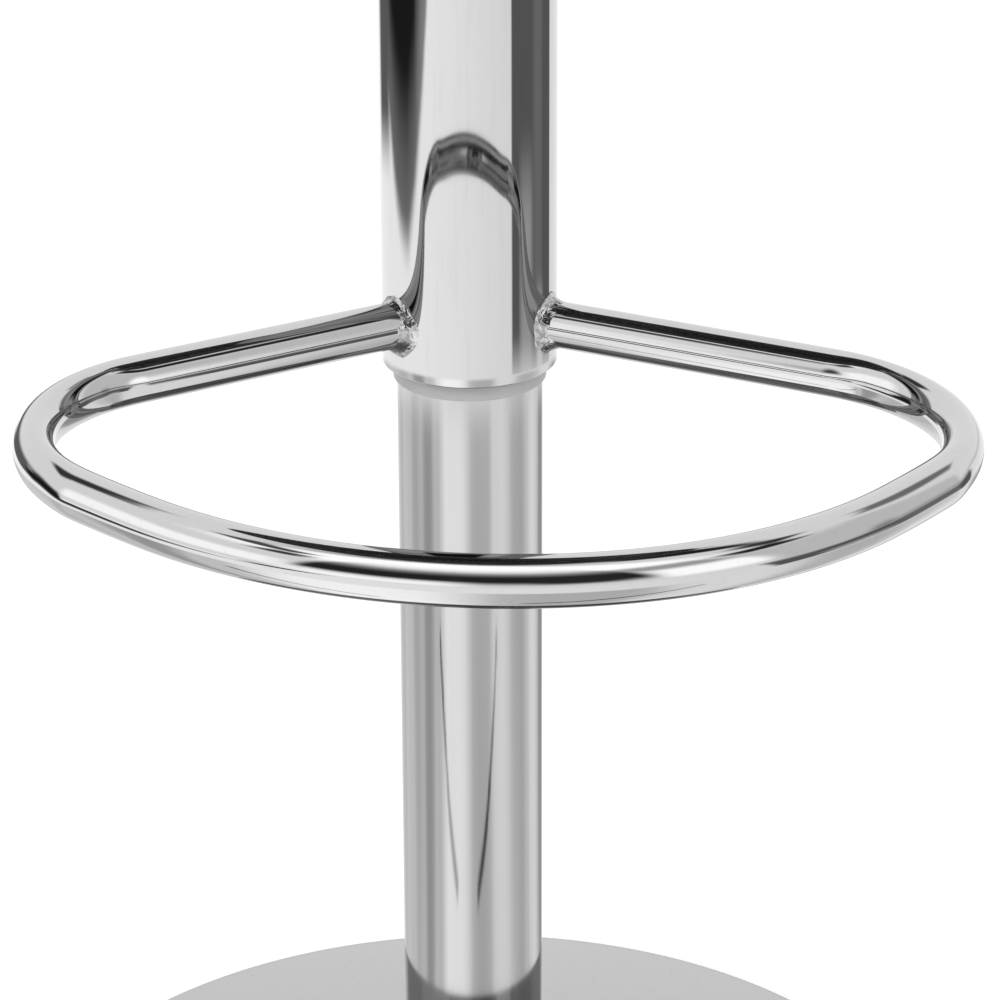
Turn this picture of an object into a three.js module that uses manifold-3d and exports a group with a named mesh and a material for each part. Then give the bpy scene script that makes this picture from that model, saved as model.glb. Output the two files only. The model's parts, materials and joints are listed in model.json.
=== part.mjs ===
// Swivel counter stool on a gas lift, shown raised to its full height.
// Millimetres, +Z up. The origin is on the floor, on the axis of the post; the footrest points to -Y.

import * as THREE from 'three';
import { mergeVertices } from 'three/addons/utils/BufferGeometryUtils.js';
import Module from 'manifold-3d';

const wasm = await Module();
wasm.setup();

// The sizes that drive the whole stool
const footrestHeight = 350;
const stroke = 210;
const postRadius = 25;
const postWall = 1.6;
const coverTubeRadius = 30;
const coverTubeWall = 1.5;
const rimBelowFootrest = 17.7;
const baseRadius = 175;
const seatRadius = 190;

// The gap between pieces that touch, between pieces that slide, and how far a cutting body runs on
const seatGap = 0.3;
const slideGap = 0.4;
const overrun = 5;

// Sides of the round pieces
const baseSides = 48;
const seatSides = 36;
const columnSides = 32;
const smallSides = 20;
const tinySides = 12;
const cornerSteps = 4;

const degrees = Math.PI / 180;

const chrome = { color: 0xc9cbcd, roughness: 0.08, metalness: 1 };
const satinChrome = { color: 0xc2c4c6, roughness: 0.22, metalness: 1 };
const steel = { color: 0x8d9094, roughness: 0.42, metalness: 1 };
const darkSteel = { color: 0x2c2d2f, roughness: 0.5, metalness: 0.6 };
const greyPlastic = { color: 0x9b9d9e, roughness: 0.5, metalness: 0 };
const whitePlastic = { color: 0xe2e0da, roughness: 0.5, metalness: 0 };
const blackPlastic = { color: 0x161616, roughness: 0.45, metalness: 0 };
const rubber = { color: 0x1b1b1b, roughness: 0.85, metalness: 0 };
const vinyl = { color: 0x151515, roughness: 0.4, metalness: 0 };
const foam = { color: 0xd9cfae, roughness: 0.95, metalness: 0 };
const plywood = { color: 0xb98f5f, roughness: 0.75, metalness: 0 };
const cloth = { color: 0x1d1d1f, roughness: 0.95, metalness: 0 };

// A surface of revolution about +Z; the profile is (radius, height), anticlockwise, from the axis or closed
function lathe(profile, sides) {
  const points = profile.map(([radius, height]) => new THREE.Vector2(radius, height));
  if (profile[0][0] > 0) points.push(points[0].clone());
  return new THREE.LatheGeometry(points, sides).rotateX(Math.PI / 2);
}

function disc(radius, bottom, top, sides) {
  return lathe([[0, bottom], [radius, bottom], [radius, top], [0, top]], sides);
}

function ring(inner, outer, bottom, top, sides) {
  return lathe([[inner, bottom], [outer, bottom], [outer, top], [inner, top]], sides);
}

// Points on a quarter or another arc of a profile
function arc(centre, radius, fromDegrees, toDegrees, steps) {
  const points = [];
  for (let i = 0; i <= steps; i++) {
    const angle = (fromDegrees + (toDegrees - fromDegrees) * i / steps) * degrees;
    points.push([centre[0] + radius * Math.cos(angle), centre[1] + radius * Math.sin(angle)]);
  }
  return points;
}

// A regular outline with its corners on a circle
function circlePoints(radius, sides) {
  const points = [];
  for (let i = 0; i < sides; i++) {
    const angle = 2 * Math.PI * i / sides;
    points.push(new THREE.Vector2(radius * Math.cos(angle), radius * Math.sin(angle)));
  }
  return points;
}

function roundedRectangle(length, width, corner) {
  const x = length / 2 - corner;
  const y = width / 2 - corner;
  const shape = new THREE.Shape();
  shape.absarc(x, y, corner, 0, 90 * degrees);
  shape.absarc(-x, y, corner, 90 * degrees, 180 * degrees);
  shape.absarc(-x, -y, corner, 180 * degrees, 270 * degrees);
  shape.absarc(x, -y, corner, 270 * degrees, 360 * degrees);
  return shape;
}

// An upright solid of an outline, standing on the height `bottom`
function plate(shape, bottom, thickness) {
  const options = { depth: thickness, bevelEnabled: false, curveSegments: cornerSteps };
  return new THREE.ExtrudeGeometry(shape, options).translate(0, 0, bottom);
}

function box(fromPoint, toPoint) {
  const size = toPoint.map((value, i) => value - fromPoint[i]);
  const centre = toPoint.map((value, i) => (value + fromPoint[i]) / 2);
  return new THREE.BoxGeometry(...size).translate(...centre);
}

// A solid for cutting and joining, and the way back to a geometry
function toSolid(geometry) {
  const bare = geometry.clone();
  bare.deleteAttribute('normal');
  bare.deleteAttribute('uv');
  const merged = mergeVertices(bare);
  const triVerts = new Uint32Array(merged.index.array);
  const vertProperties = new Float32Array(merged.attributes.position.array);
  return new wasm.Manifold(new wasm.Mesh({ numProp: 3, vertProperties, triVerts }));
}

function toGeometry(solid) {
  const mesh = solid.getMesh();
  const geometry = new THREE.BufferGeometry();
  geometry.setAttribute('position', new THREE.BufferAttribute(new Float32Array(mesh.vertProperties), 3));
  geometry.setIndex(new THREE.BufferAttribute(new Uint32Array(mesh.triVerts), 1));
  geometry.computeVertexNormals();
  return geometry;
}

function join(...geometries) {
  return toGeometry(geometries.map(toSolid).reduce((whole, piece) => whole.add(piece)));
}

function cut(geometry, ...cutters) {
  const whole = toSolid(geometry);
  return toGeometry(cutters.map(toSolid).reduce((rest, cutter) => rest.subtract(cutter), whole));
}

// A path in the XY plane made of straight runs and bends, each with its own number of steps
class BentPath extends THREE.Curve {
  constructor(start, heading, runs) {
    super();
    this.legs = [];
    let point = start.clone();
    let angle = heading;
    for (const { length, turn, steps } of runs) {
      const leg = { point, angle, length, turn, steps };
      this.legs.push(leg);
      point = BentPath.along(leg, 1);
      angle += turn;
    }
    this.steps = runs.reduce((sum, run) => sum + run.steps, 0);
  }

  static along({ point, angle, length, turn }, share) {
    const ahead = new THREE.Vector3(Math.cos(angle), Math.sin(angle), 0);
    if (turn === 0) return ahead.multiplyScalar(length * share).add(point);
    const radius = length / turn;
    const end = angle + turn * share;
    const side = new THREE.Vector3(Math.sin(end) - Math.sin(angle), Math.cos(angle) - Math.cos(end), 0);
    return side.multiplyScalar(radius).add(point);
  }

  find(share) {
    let left = share * this.steps;
    let i = 0;
    while (i < this.legs.length - 1 && left > this.legs[i].steps) {
      left -= this.legs[i].steps;
      i += 1;
    }
    return [this.legs[i], left / this.legs[i].steps];
  }

  getPointAt(share) {
    return BentPath.along(...this.find(share));
  }

  getTangentAt(share) {
    const [leg, legShare] = this.find(share);
    const angle = leg.angle + leg.turn * legShare;
    return new THREE.Vector3(Math.cos(angle), Math.sin(angle), 0);
  }
}

const stool = new THREE.Group();

function add(name, geometry, look) {
  const mesh = new THREE.Mesh(geometry, new THREE.MeshStandardMaterial(look));
  mesh.name = name;
  stool.add(mesh);
}

// Base: a floor pad, a ballast plate, a pressed cover with a shallow crown, and the hub that holds the post
const floorPadThickness = 2.5;
const floorPadInset = 1;
const baseRimHeight = 9.3;
const baseCrown = 15;
const baseRimRounding = 2.5;
const baseWall = 1.8;
const baseHoleGap = 1;
const ballastThickness = 5.4;
const ballastInset = 12;
const hubWall = 6.7;
const crownSteps = 4;

const baseFloor = floorPadThickness + seatGap;
const crownRadius = baseRadius - baseRimRounding;
const baseHoleRadius = postRadius + baseHoleGap;
const hubRadius = postRadius + hubWall;
const hubTop = baseHeight(hubRadius) - baseWall - seatGap;

function baseHeight(radius) {
  return baseRimHeight + baseCrown * (1 - (radius / crownRadius) ** 2);
}

function crownLine(fromRadius, toRadius, depth) {
  const points = [];
  for (let i = 0; i <= crownSteps; i++) {
    const radius = fromRadius + (toRadius - fromRadius) * i / crownSteps;
    points.push([radius, baseHeight(radius) - depth]);
  }
  return points;
}

function baseCover() {
  const turn = [crownRadius, baseRimHeight - baseRimRounding];
  return lathe([
    [baseRadius - baseWall, baseFloor],
    [baseRadius, baseFloor],
    ...arc(turn, baseRimRounding, 0, 90, 3),
    ...crownLine(crownRadius, baseHoleRadius, 0).slice(1),
    ...crownLine(baseHoleRadius, crownRadius, baseWall),
    ...arc(turn, baseRimRounding - baseWall, 90, 0, 1).slice(1),
  ], baseSides);
}

// Post: the outer column of the gas lift, with a short taper wedged in the hub and a floor for the bearing
const postFoot = 5.5;
const postTaperAboveHub = 6.3;
const postTaperDepth = 0.8;
const postFloorHeight = 11;
const postFloorThickness = 3;
const postHoleGap = 0.6;
const postOverlap = 98;
const postEdge = 0.6;
const rodRadius = 5;

const coverTubeBottom = footrestHeight - rimBelowFootrest;
const postTop = coverTubeBottom + postOverlap;
const postInside = postRadius - postWall;
const postTaperTop = hubTop + postTaperAboveHub;
const postFloorTop = postFloorHeight + postFloorThickness;

function taperRadius(height) {
  return postRadius - postTaperDepth * (postTaperTop - height) / (postTaperTop - postFoot);
}

function postTube() {
  const hole = rodRadius + postHoleGap;
  const footInside = taperRadius(postFoot) - postWall;
  return lathe([
    [hole, postFloorHeight],
    [footInside, postFloorHeight],
    [footInside, postFoot],
    [taperRadius(postFoot), postFoot],
    [postRadius, postTaperTop],
    [postRadius, postTop - postEdge],
    [postRadius - postEdge, postTop],
    [postInside, postTop],
    [postInside, postFloorTop],
    [hole, postFloorTop],
  ], columnSides);
}

// The hub carries the cover where it comes up to the underside
function baseHub() {
  return lathe([
    [taperRadius(baseFloor) + seatGap, baseFloor],
    [hubRadius, baseFloor],
    [hubRadius, hubTop],
    [taperRadius(hubTop) + seatGap, hubTop],
  ], columnSides);
}

// The chrome collar that hides the joint between the post and the base, with a hollow sweep to its lip
const trimWidth = 11;
const trimHeight = 9.5;
const trimEdge = 1.6;
const trimLip = 1.4;
const trimSteps = 5;

function trimRing() {
  const inner = postRadius + seatGap;
  const bottom = baseHeight(baseHoleRadius) + seatGap;
  const corner = [inner + trimWidth, bottom + trimHeight];
  const points = [[inner, bottom], [inner + trimWidth, bottom]];
  for (let i = 0; i <= trimSteps; i++) {
    const angle = 90 * degrees * i / trimSteps;
    const radius = corner[0] - (trimWidth - trimLip) * Math.sin(angle);
    points.push([radius, corner[1] - (trimHeight - trimEdge) * Math.cos(angle)]);
  }
  points.push([inner, bottom + trimHeight]);
  return lathe(points, columnSides);
}

add('floor_pad', disc(baseRadius - floorPadInset, 0, floorPadThickness, baseSides), rubber);
add('ballast_plate', ring(
  hubRadius + seatGap, baseRadius - ballastInset, baseFloor, baseFloor + ballastThickness, baseSides,
), darkSteel);
add('base_cover', baseCover(), chrome);
add('base_hub', baseHub(), darkSteel);
add('base_trim_ring', trimRing(), chrome);
add('post', postTube(), satinChrome);

// Thrust bearing on the floor of the post: the rod and all that it carries turn on it
const raceThickness = 2;
const raceRadius = 15;
const raceHoleGap = 0.6;
const ballRadius = 1.9;
const ballCircleRadius = 10.2;
const ballCount = 8;
const cageWidth = 5.6;
const cageThickness = 1;
const bumperThickness = 13;
const bumperRadius = 11;
const bumperEdge = 2;

const lowerRaceBottom = postFloorTop + seatGap;
const ballHeight = lowerRaceBottom + raceThickness + seatGap + ballRadius;
const upperRaceBottom = ballHeight + ballRadius + seatGap;
const bumperBottom = upperRaceBottom + raceThickness + seatGap;
const bumperTop = bumperBottom + bumperThickness;

function bearingRace(bore, bottom) {
  return ring(bore, raceRadius, bottom, bottom + raceThickness, smallSides);
}

function bearingBalls() {
  const inner = ballCircleRadius - cageWidth / 2;
  const bottom = ballHeight - cageThickness / 2;
  const cage = ring(inner, inner + cageWidth, bottom, bottom + cageThickness, smallSides);
  const balls = [];
  for (let i = 0; i < ballCount; i++) {
    const angle = 2 * Math.PI * i / ballCount;
    const place = [ballCircleRadius * Math.cos(angle), ballCircleRadius * Math.sin(angle), ballHeight];
    balls.push(new THREE.OctahedronGeometry(ballRadius, 1).translate(...place));
  }
  return join(cage, ...balls);
}

function bumper() {
  const inner = rodRadius + seatGap;
  return lathe([
    [inner, bumperBottom],
    [bumperRadius, bumperBottom],
    [bumperRadius, bumperTop - bumperEdge],
    [bumperRadius - bumperEdge, bumperTop],
    [inner, bumperTop],
  ], smallSides);
}

add('bearing_lower_race', bearingRace(rodRadius + raceHoleGap, lowerRaceBottom), steel);
add('bearing_balls', bearingBalls(), steel);
add('bearing_upper_race', bearingRace(rodRadius + seatGap, upperRaceBottom), steel);
add('bump_stop', bumper(), rubber);

// Guide bush in the mouth of the post, where the gas cylinder slides and turns
const cylinderRadius = 14;
const guideLength = 35;
const guideFlange = 3;
const guideFlangeInset = 0.5;

const guideTop = postTop + seatGap + guideFlange;

function guideBush() {
  const bore = cylinderRadius + slideGap;
  const plugRadius = postInside - seatGap;
  const flangeRadius = postRadius - guideFlangeInset;
  return lathe([
    [bore, postTop - guideLength],
    [plugRadius, postTop - guideLength],
    [plugRadius, postTop + seatGap],
    [flangeRadius, postTop + seatGap],
    [flangeRadius, guideTop],
    [bore, guideTop],
  ], columnSides);
}

add('post_guide_bush', guideBush(), whitePlastic);

// Cover tube: long enough to come down over the whole post; a grey slide collar shows under its rim
const rimRounding = 0.75;
const collarLength = 60;
const collarLip = 6;
const collarLipWall = 0.9;
const collarStep = 0.8;
const cupLength = 18;
const cupFlange = 2;
const guideToCup = 28.7;

const coverTubeInside = coverTubeRadius - coverTubeWall;
const coverTubeTop = guideTop + stroke + guideToCup + cupLength;
const cupTop = coverTubeTop + seatGap + cupFlange;

function coverTube() {
  const rimCentre = [coverTubeRadius - rimRounding, coverTubeBottom + rimRounding];
  return lathe([
    ...arc(rimCentre, rimRounding, 180, 360, 4),
    [coverTubeRadius, coverTubeTop],
    [coverTubeInside, coverTubeTop],
  ], columnSides);
}

function tubeCollar() {
  const inner = postRadius + slideGap;
  const outer = coverTubeInside - seatGap;
  const lip = inner + collarLipWall;
  const lipTop = coverTubeBottom + collarStep;
  return lathe([
    [inner, coverTubeBottom - collarLip],
    [lip, coverTubeBottom - collarLip],
    [lip, lipTop],
    [outer, lipTop + collarStep],
    [outer, coverTubeBottom + collarLength],
    [inner, coverTubeBottom + collarLength],
  ], columnSides);
}

// The cup closes the tube at the top and centres it on the cylinder
function tubeCup() {
  const bore = cylinderRadius + seatGap;
  const plugRadius = coverTubeInside - seatGap;
  return lathe([
    [bore, coverTubeTop - cupLength],
    [plugRadius, coverTubeTop - cupLength],
    [plugRadius, cupTop - cupFlange],
    [coverTubeRadius, cupTop - cupFlange],
    [coverTubeRadius, cupTop],
    [bore, cupTop],
  ], columnSides);
}

add('cover_tube', coverTube(), chrome);
add('tube_collar', tubeCollar(), greyPlastic);
add('tube_cup', tubeCup(), blackPlastic);

// Gas cylinder: it hangs over the rod, closed by a gland below and by the valve above
const cylinderWall = 1.6;
const cylinderLip = 3.4;
const cylinderLipThickness = 2;
const cylinderTaperDepth = 0.7;
const cylinderAboveBumper = 12;
const cylinderAboveSocket = 6;
const socketLength = 30;
const glandLength = 18;
const rodSealLength = 6;
const pistonAboveSeal = 1.4;

const socketBottom = cupTop + seatGap;
const socketTop = socketBottom + socketLength;
const cylinderTop = socketTop + cylinderAboveSocket;
const cylinderInside = cylinderRadius - cylinderWall;
const cylinderBottom = bumperTop + cylinderAboveBumper + stroke;
const glandBottom = cylinderBottom + cylinderLipThickness + seatGap;
const rodSealBottom = glandBottom + glandLength + seatGap;
const pistonShoulder = rodSealBottom + rodSealLength + pistonAboveSeal;

function cylinderTaper(height) {
  return cylinderRadius - cylinderTaperDepth * (height - cupTop) / (cylinderTop - cupTop);
}

function gasCylinder() {
  const lipInside = cylinderInside - cylinderLip;
  return lathe([
    [lipInside, cylinderBottom],
    [cylinderRadius, cylinderBottom],
    [cylinderRadius, cupTop],
    [cylinderTaper(cylinderTop), cylinderTop],
    [cylinderTaper(cylinderTop) - cylinderWall, cylinderTop],
    [cylinderInside, cupTop],
    [cylinderInside, cylinderBottom + cylinderLipThickness],
    [lipInside, cylinderBottom + cylinderLipThickness],
  ], smallSides);
}

function cylinderPlug(gap, bottom, length) {
  return ring(rodRadius + gap, cylinderInside - seatGap, bottom, bottom + length, smallSides);
}

add('gas_cylinder', gasCylinder(), darkSteel);
add('cylinder_gland', cylinderPlug(slideGap, glandBottom, glandLength), steel);
add('rod_seal', cylinderPlug(seatGap, rodSealBottom, rodSealLength), rubber);

// Rod, held down by a clip and a washer under the floor of the post, with the piston on its upper end
const rodFoot = 6.5;
const clipThickness = 0.8;
const clipWidth = 3.7;
const clipOpening = 70;
const clipSteps = 11;
const washerThickness = 1.3;
const washerRadius = 12;
const grooveDepth = 1;
const rodNeckRadius = 3.5;
const rodTipLength = 1.7;
const pistonLength = 14;
const pistonGrooveDepth = 2.5;
const pistonGrooveLength = 4;
const nutLength = 5;
const nutRadius = 7.5;
const nutSides = 6;

const washerTop = postFloorHeight - seatGap;
const washerBottom = washerTop - washerThickness;
const clipTop = washerBottom - seatGap;
const clipBottom = clipTop - clipThickness;
const pistonBottom = pistonShoulder + seatGap;
const pistonTop = pistonBottom + pistonLength;
const pistonRadius = cylinderInside - slideGap;
const pistonGrooveRadius = pistonRadius - pistonGrooveDepth;
const pistonGrooveBottom = pistonBottom + (pistonLength - pistonGrooveLength) / 2;
const pistonGrooveTop = pistonGrooveBottom + pistonGrooveLength;
const nutBottom = pistonTop + seatGap;
const rodTop = nutBottom + nutLength + rodTipLength;

function pistonRod() {
  const groove = rodRadius - grooveDepth;
  return lathe([
    [0, rodFoot],
    [groove, rodFoot],
    [rodRadius, clipBottom - seatGap],
    [groove, clipBottom - seatGap],
    [groove, clipTop + seatGap],
    [rodRadius, clipTop + seatGap],
    [rodRadius, pistonShoulder],
    [rodNeckRadius, pistonShoulder],
    [rodNeckRadius, rodTop],
    [0, rodTop],
  ], smallSides);
}

// An open ring that snaps into the groove of the rod
function rodClip() {
  const inner = rodRadius - grooveDepth + seatGap;
  const unitArc = arc([0, 0], 1, clipOpening / 2, 360 - clipOpening / 2, clipSteps);
  const outside = unitArc.map(([x, y]) => new THREE.Vector2(x, y).multiplyScalar(inner + clipWidth));
  const inside = unitArc.map(([x, y]) => new THREE.Vector2(x, y).multiplyScalar(inner)).reverse();
  return plate(new THREE.Shape([...outside, ...inside]), clipBottom, clipThickness);
}

function piston() {
  const bore = rodNeckRadius + seatGap;
  return lathe([
    [bore, pistonBottom],
    [pistonRadius, pistonBottom],
    [pistonRadius, pistonGrooveBottom],
    [pistonGrooveRadius, pistonGrooveBottom],
    [pistonGrooveRadius, pistonGrooveTop],
    [pistonRadius, pistonGrooveTop],
    [pistonRadius, pistonTop],
    [bore, pistonTop],
  ], smallSides);
}

function pistonSeal() {
  const bottom = pistonGrooveBottom + seatGap;
  const top = pistonGrooveTop - seatGap;
  return ring(pistonGrooveRadius + seatGap, cylinderInside - seatGap, bottom, top, smallSides);
}

function pistonNut() {
  const shape = new THREE.Shape(circlePoints(nutRadius, nutSides));
  shape.holes.push(new THREE.Path(circlePoints(rodNeckRadius + seatGap, smallSides)));
  return plate(shape, nutBottom, nutLength);
}

add('piston_rod', pistonRod(), steel);
add('rod_washer', ring(rodRadius + seatGap, washerRadius, washerBottom, washerTop, smallSides), steel);
add('rod_clip', rodClip(), darkSteel);
add('piston', piston(), steel);
add('piston_seal', pistonSeal(), rubber);
add('piston_nut', pistonNut(), steel);

// Footrest: one bent tube, with a front arc, cheeks, corners and two straight arms to the cover tube
const footrestRadius = 8;
const footrestWall = 1.2;
const frontRadius = 157.2;
const frontHalfTurn = 45.9 * degrees;
const cheekLength = 26.3;
const cheekTurn = 3 * degrees;
const cornerRadius = 63.2;
const armAngle = 28.9 * degrees;
const footrestLean = 1.6 * degrees;
const footrestSides = 14;
const footrestBoreSides = 8;
const weldReach = 5.5;
const weldThickness = 3.2;
const weldShares = [[0.8, 0.25], [0.35, 0.7], [0, 1]];

const cornerTurn = Math.PI - armAngle - frontHalfTurn - cheekTurn;
const armStart = coverTubeRadius - overrun;

// How far the straight arm runs from the axis, so that the two halves meet in front
function armReach() {
  const cheekEnd = frontHalfTurn + cheekTurn;
  const front = frontRadius * Math.sin(frontHalfTurn);
  const cheek = cheekLength / cheekTurn * (Math.sin(cheekEnd) - Math.sin(frontHalfTurn));
  const corner = cornerRadius * (Math.sin(armAngle) - Math.sin(cheekEnd));
  return (front + cheek + corner) / Math.cos(armAngle);
}

function footrestPath() {
  const heading = Math.PI + armAngle;
  const start = new THREE.Vector3(Math.cos(heading), Math.sin(heading), 0).multiplyScalar(armStart);
  const arm = { length: armReach() - armStart, turn: 0, steps: 2 };
  const corner = { length: cornerRadius * cornerTurn, turn: cornerTurn, steps: 10 };
  const cheek = { length: cheekLength, turn: cheekTurn, steps: 1 };
  const front = { length: 2 * frontRadius * frontHalfTurn, turn: 2 * frontHalfTurn, steps: 13 };
  return new BentPath(start, heading, [arm, corner, cheek, front, cheek, corner, arm]);
}

// The footrest leans a little to its right, as welded
function settle(geometry) {
  return geometry.rotateY(footrestLean).translate(0, 0, footrestHeight);
}

// The ends of the arms and their welds follow the round of the cover tube
function copeCutter() {
  const reach = 2 * footrestRadius + weldThickness + overrun;
  return disc(coverTubeRadius + seatGap, footrestHeight - reach, footrestHeight + reach, columnSides);
}

function footrestTube() {
  const path = footrestPath();
  const section = new THREE.Shape(circlePoints(footrestRadius, footrestSides));
  section.holes.push(new THREE.Path(circlePoints(footrestRadius - footrestWall, footrestBoreSides)));
  const tube = new THREE.ExtrudeGeometry(section, { steps: path.steps, extrudePath: path });
  return cut(settle(tube), copeCutter());
}

// A weld bead round the end of one arm; side is 1 on the right and -1 on the left
function weldBead(side) {
  const inner = footrestRadius + seatGap;
  const bead = lathe([
    [inner, armStart],
    [inner + weldThickness, armStart],
    ...weldShares.map(([outShare, alongShare]) => [
      inner + weldThickness * outShare, coverTubeRadius + weldReach * alongShare,
    ]),
  ], smallSides);
  bead.rotateY(side * 90 * degrees);
  bead.rotateZ(-side * armAngle);
  return cut(settle(bead), copeCutter());
}

add('footrest_tube', footrestTube(), chrome);
add('footrest_weld_right', weldBead(1), chrome);
add('footrest_weld_left', weldBead(-1), chrome);

// Valve: a body in the top of the cylinder, and the pin that stands out of it
const valveLength = 29;
const valveFloor = 3;
const pinRadius = 3;
const pinHeadRadius = 4.5;
const pinHeadLength = 2;
const pinProud = 4;
const pinDome = 0.9;
const pinDomeShares = [0.6, 0.7];
const pinTravel = 4;

const valveBottom = cylinderTop - valveLength;
const valveRadius = cylinderTaper(cylinderTop) - cylinderWall - seatGap;
const chamberBottom = valveBottom + valveFloor;
const pinBottom = chamberBottom + pinTravel;
const pinTop = cylinderTop + pinProud;

function valveBody() {
  const shoulder = pinBottom + pinHeadLength + seatGap;
  return lathe([
    [0, valveBottom],
    [valveRadius, valveBottom],
    [valveRadius, cylinderTop],
    [pinRadius + seatGap, cylinderTop],
    [pinRadius + seatGap, shoulder],
    [pinHeadRadius + seatGap, shoulder],
    [pinHeadRadius + seatGap, chamberBottom],
    [0, chamberBottom],
  ], smallSides);
}

function valvePin() {
  const [domeShare, domeRiseShare] = pinDomeShares;
  return lathe([
    [0, pinBottom],
    [pinHeadRadius, pinBottom],
    [pinHeadRadius, pinBottom + pinHeadLength],
    [pinRadius, pinBottom + pinHeadLength],
    [pinRadius, pinTop - pinDome],
    [pinRadius * domeShare, pinTop - pinDome * (1 - domeRiseShare)],
    [0, pinTop],
  ], tinySides);
}

// Socket: the taper at the top of the cylinder wedges into it, and the pan sits on its flange
const socketWall = 5.7;
const socketFlangeTop = 13;
const socketFlangeThickness = 3.5;
const socketFlangeWidth = 6;

const socketRadius = cylinderRadius + socketWall;

function seatSocket() {
  const flangeTop = socketBottom + socketFlangeTop;
  return lathe([
    [cylinderTaper(socketBottom) + seatGap, socketBottom],
    [socketRadius, socketBottom],
    [socketRadius, flangeTop - socketFlangeThickness],
    [socketRadius + socketFlangeWidth, flangeTop - socketFlangeThickness],
    [socketRadius + socketFlangeWidth, flangeTop],
    [socketRadius, flangeTop],
    [socketRadius, socketTop],
    [cylinderTaper(socketTop) + seatGap, socketTop],
  ], smallSides);
}

// Lever: a tongue over the valve pin, a boss on the pivot pin, and a cranked rod out under the seat
const pivotOffset = 30;
const pivotPinRadius = 2.5;
const pivotPinProud = 1.5;
const bossWall = 4.1;
const bossWidth = 12;
const tongueTip = 6;
const tongueWidth = 10;
const tongueThickness = 2.6;
const tongueToPlate = 1.9;
const leverRadius = 4;
const leverSwingGap = 7.3;
const leverReach = 184;
const leverBend = 20 * degrees;
const leverBendRadius = 30;
const leverStraight = 42;
const leverOutOfPan = 8;
const leverSides = 12;
const slotWidth = 13;
const slotBelowLever = 1.2;
const gripBendGap = 7.3;
const gripWall = 2.6;
const gripEnd = 3;
const gripChamfer = 1.5;

// Pan: pressed steel, screwed to the seat board by its flange
const panLength = 120;
const panWidth = 64;
const panCorner = 12;
const panWall = 2.5;
const panFlangeSize = 180;
const panFlangeCorner = 14;
const boltSpacing = 150;
const boltRadius = 3;

const tongueBottom = pinTop + seatGap;
const panBottom = socketBottom + socketFlangeTop + seatGap;
const panTop = tongueBottom + tongueThickness + tongueToPlate;
const panFlangeBottom = panTop - panWall;
const pivotHeight = panFlangeBottom - leverSwingGap - leverRadius;

// A round bar across the stool, on the axis that the lever turns about
function pivotBar(radius, length) {
  const bar = new THREE.CylinderGeometry(radius, radius, length, tinySides);
  return bar.translate(pivotOffset, 0, pivotHeight);
}

// Where the lever begins its crank, and how far the crank runs out and down
const leverExit = panLength / 2 + leverOutOfPan;
const crankRun = 2 * leverBendRadius * Math.sin(leverBend) + leverStraight * Math.cos(leverBend);
const crankDrop = 2 * leverBendRadius * (1 - Math.cos(leverBend)) + leverStraight * Math.sin(leverBend);

function leverPath() {
  const bend = { length: leverBendRadius * leverBend, steps: 3 };
  return new BentPath(new THREE.Vector3(pivotOffset, 0, 0), 0, [
    { length: leverExit - pivotOffset, turn: 0, steps: 1 },
    { ...bend, turn: -leverBend },
    { length: leverStraight, turn: 0, steps: 1 },
    { ...bend, turn: leverBend },
    { length: leverReach - leverExit - crankRun, turn: 0, steps: 1 },
  ]);
}

function leverRod() {
  const path = leverPath();
  const section = new THREE.Shape(circlePoints(leverRadius, leverSides));
  const rod = new THREE.ExtrudeGeometry(section, { steps: path.steps, extrudePath: path });
  rod.rotateX(Math.PI / 2).translate(0, 0, pivotHeight);
  const half = tongueWidth / 2;
  const tongueTop = tongueBottom + tongueThickness;
  const tongue = box([-tongueTip, -half, tongueBottom], [pivotOffset, half, tongueTop]);
  const upright = box([pivotOffset - bossWall, -half, pivotHeight], [pivotOffset, half, tongueTop]);
  const boss = pivotBar(pivotPinRadius + bossWall, bossWidth);
  return cut(join(boss, rod, tongue, upright), pivotBar(pivotPinRadius + seatGap, bossWidth + overrun));
}

// The grip starts a little beyond the crank and closes over the end of the rod
function leverGrip() {
  const bore = leverRadius + seatGap;
  const outer = bore + gripWall;
  const mouth = leverExit + crankRun + gripBendGap;
  const inside = leverReach + seatGap;
  const end = inside + gripEnd;
  return lathe([
    [0, inside],
    [bore, inside],
    [bore, mouth],
    [outer - gripChamfer, mouth],
    [outer, mouth + gripChamfer],
    ...arc([outer - gripEnd, end - gripEnd], gripEnd, 0, 90, 3),
    [0, end],
  ], tinySides).rotateY(Math.PI / 2).translate(0, 0, pivotHeight - crankDrop);
}

// The four places where the pan is bolted to the seat board
const boltPlaces = [[-1, -1], [1, -1], [1, 1], [-1, 1]].map(
  ([x, y]) => [x * boltSpacing / 2, y * boltSpacing / 2],
);

function boltHoles(radius, bottom, top) {
  const hole = disc(radius, bottom - overrun, top + overrun, tinySides);
  return boltPlaces.map(([x, y]) => hole.clone().translate(x, y, 0));
}

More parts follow.
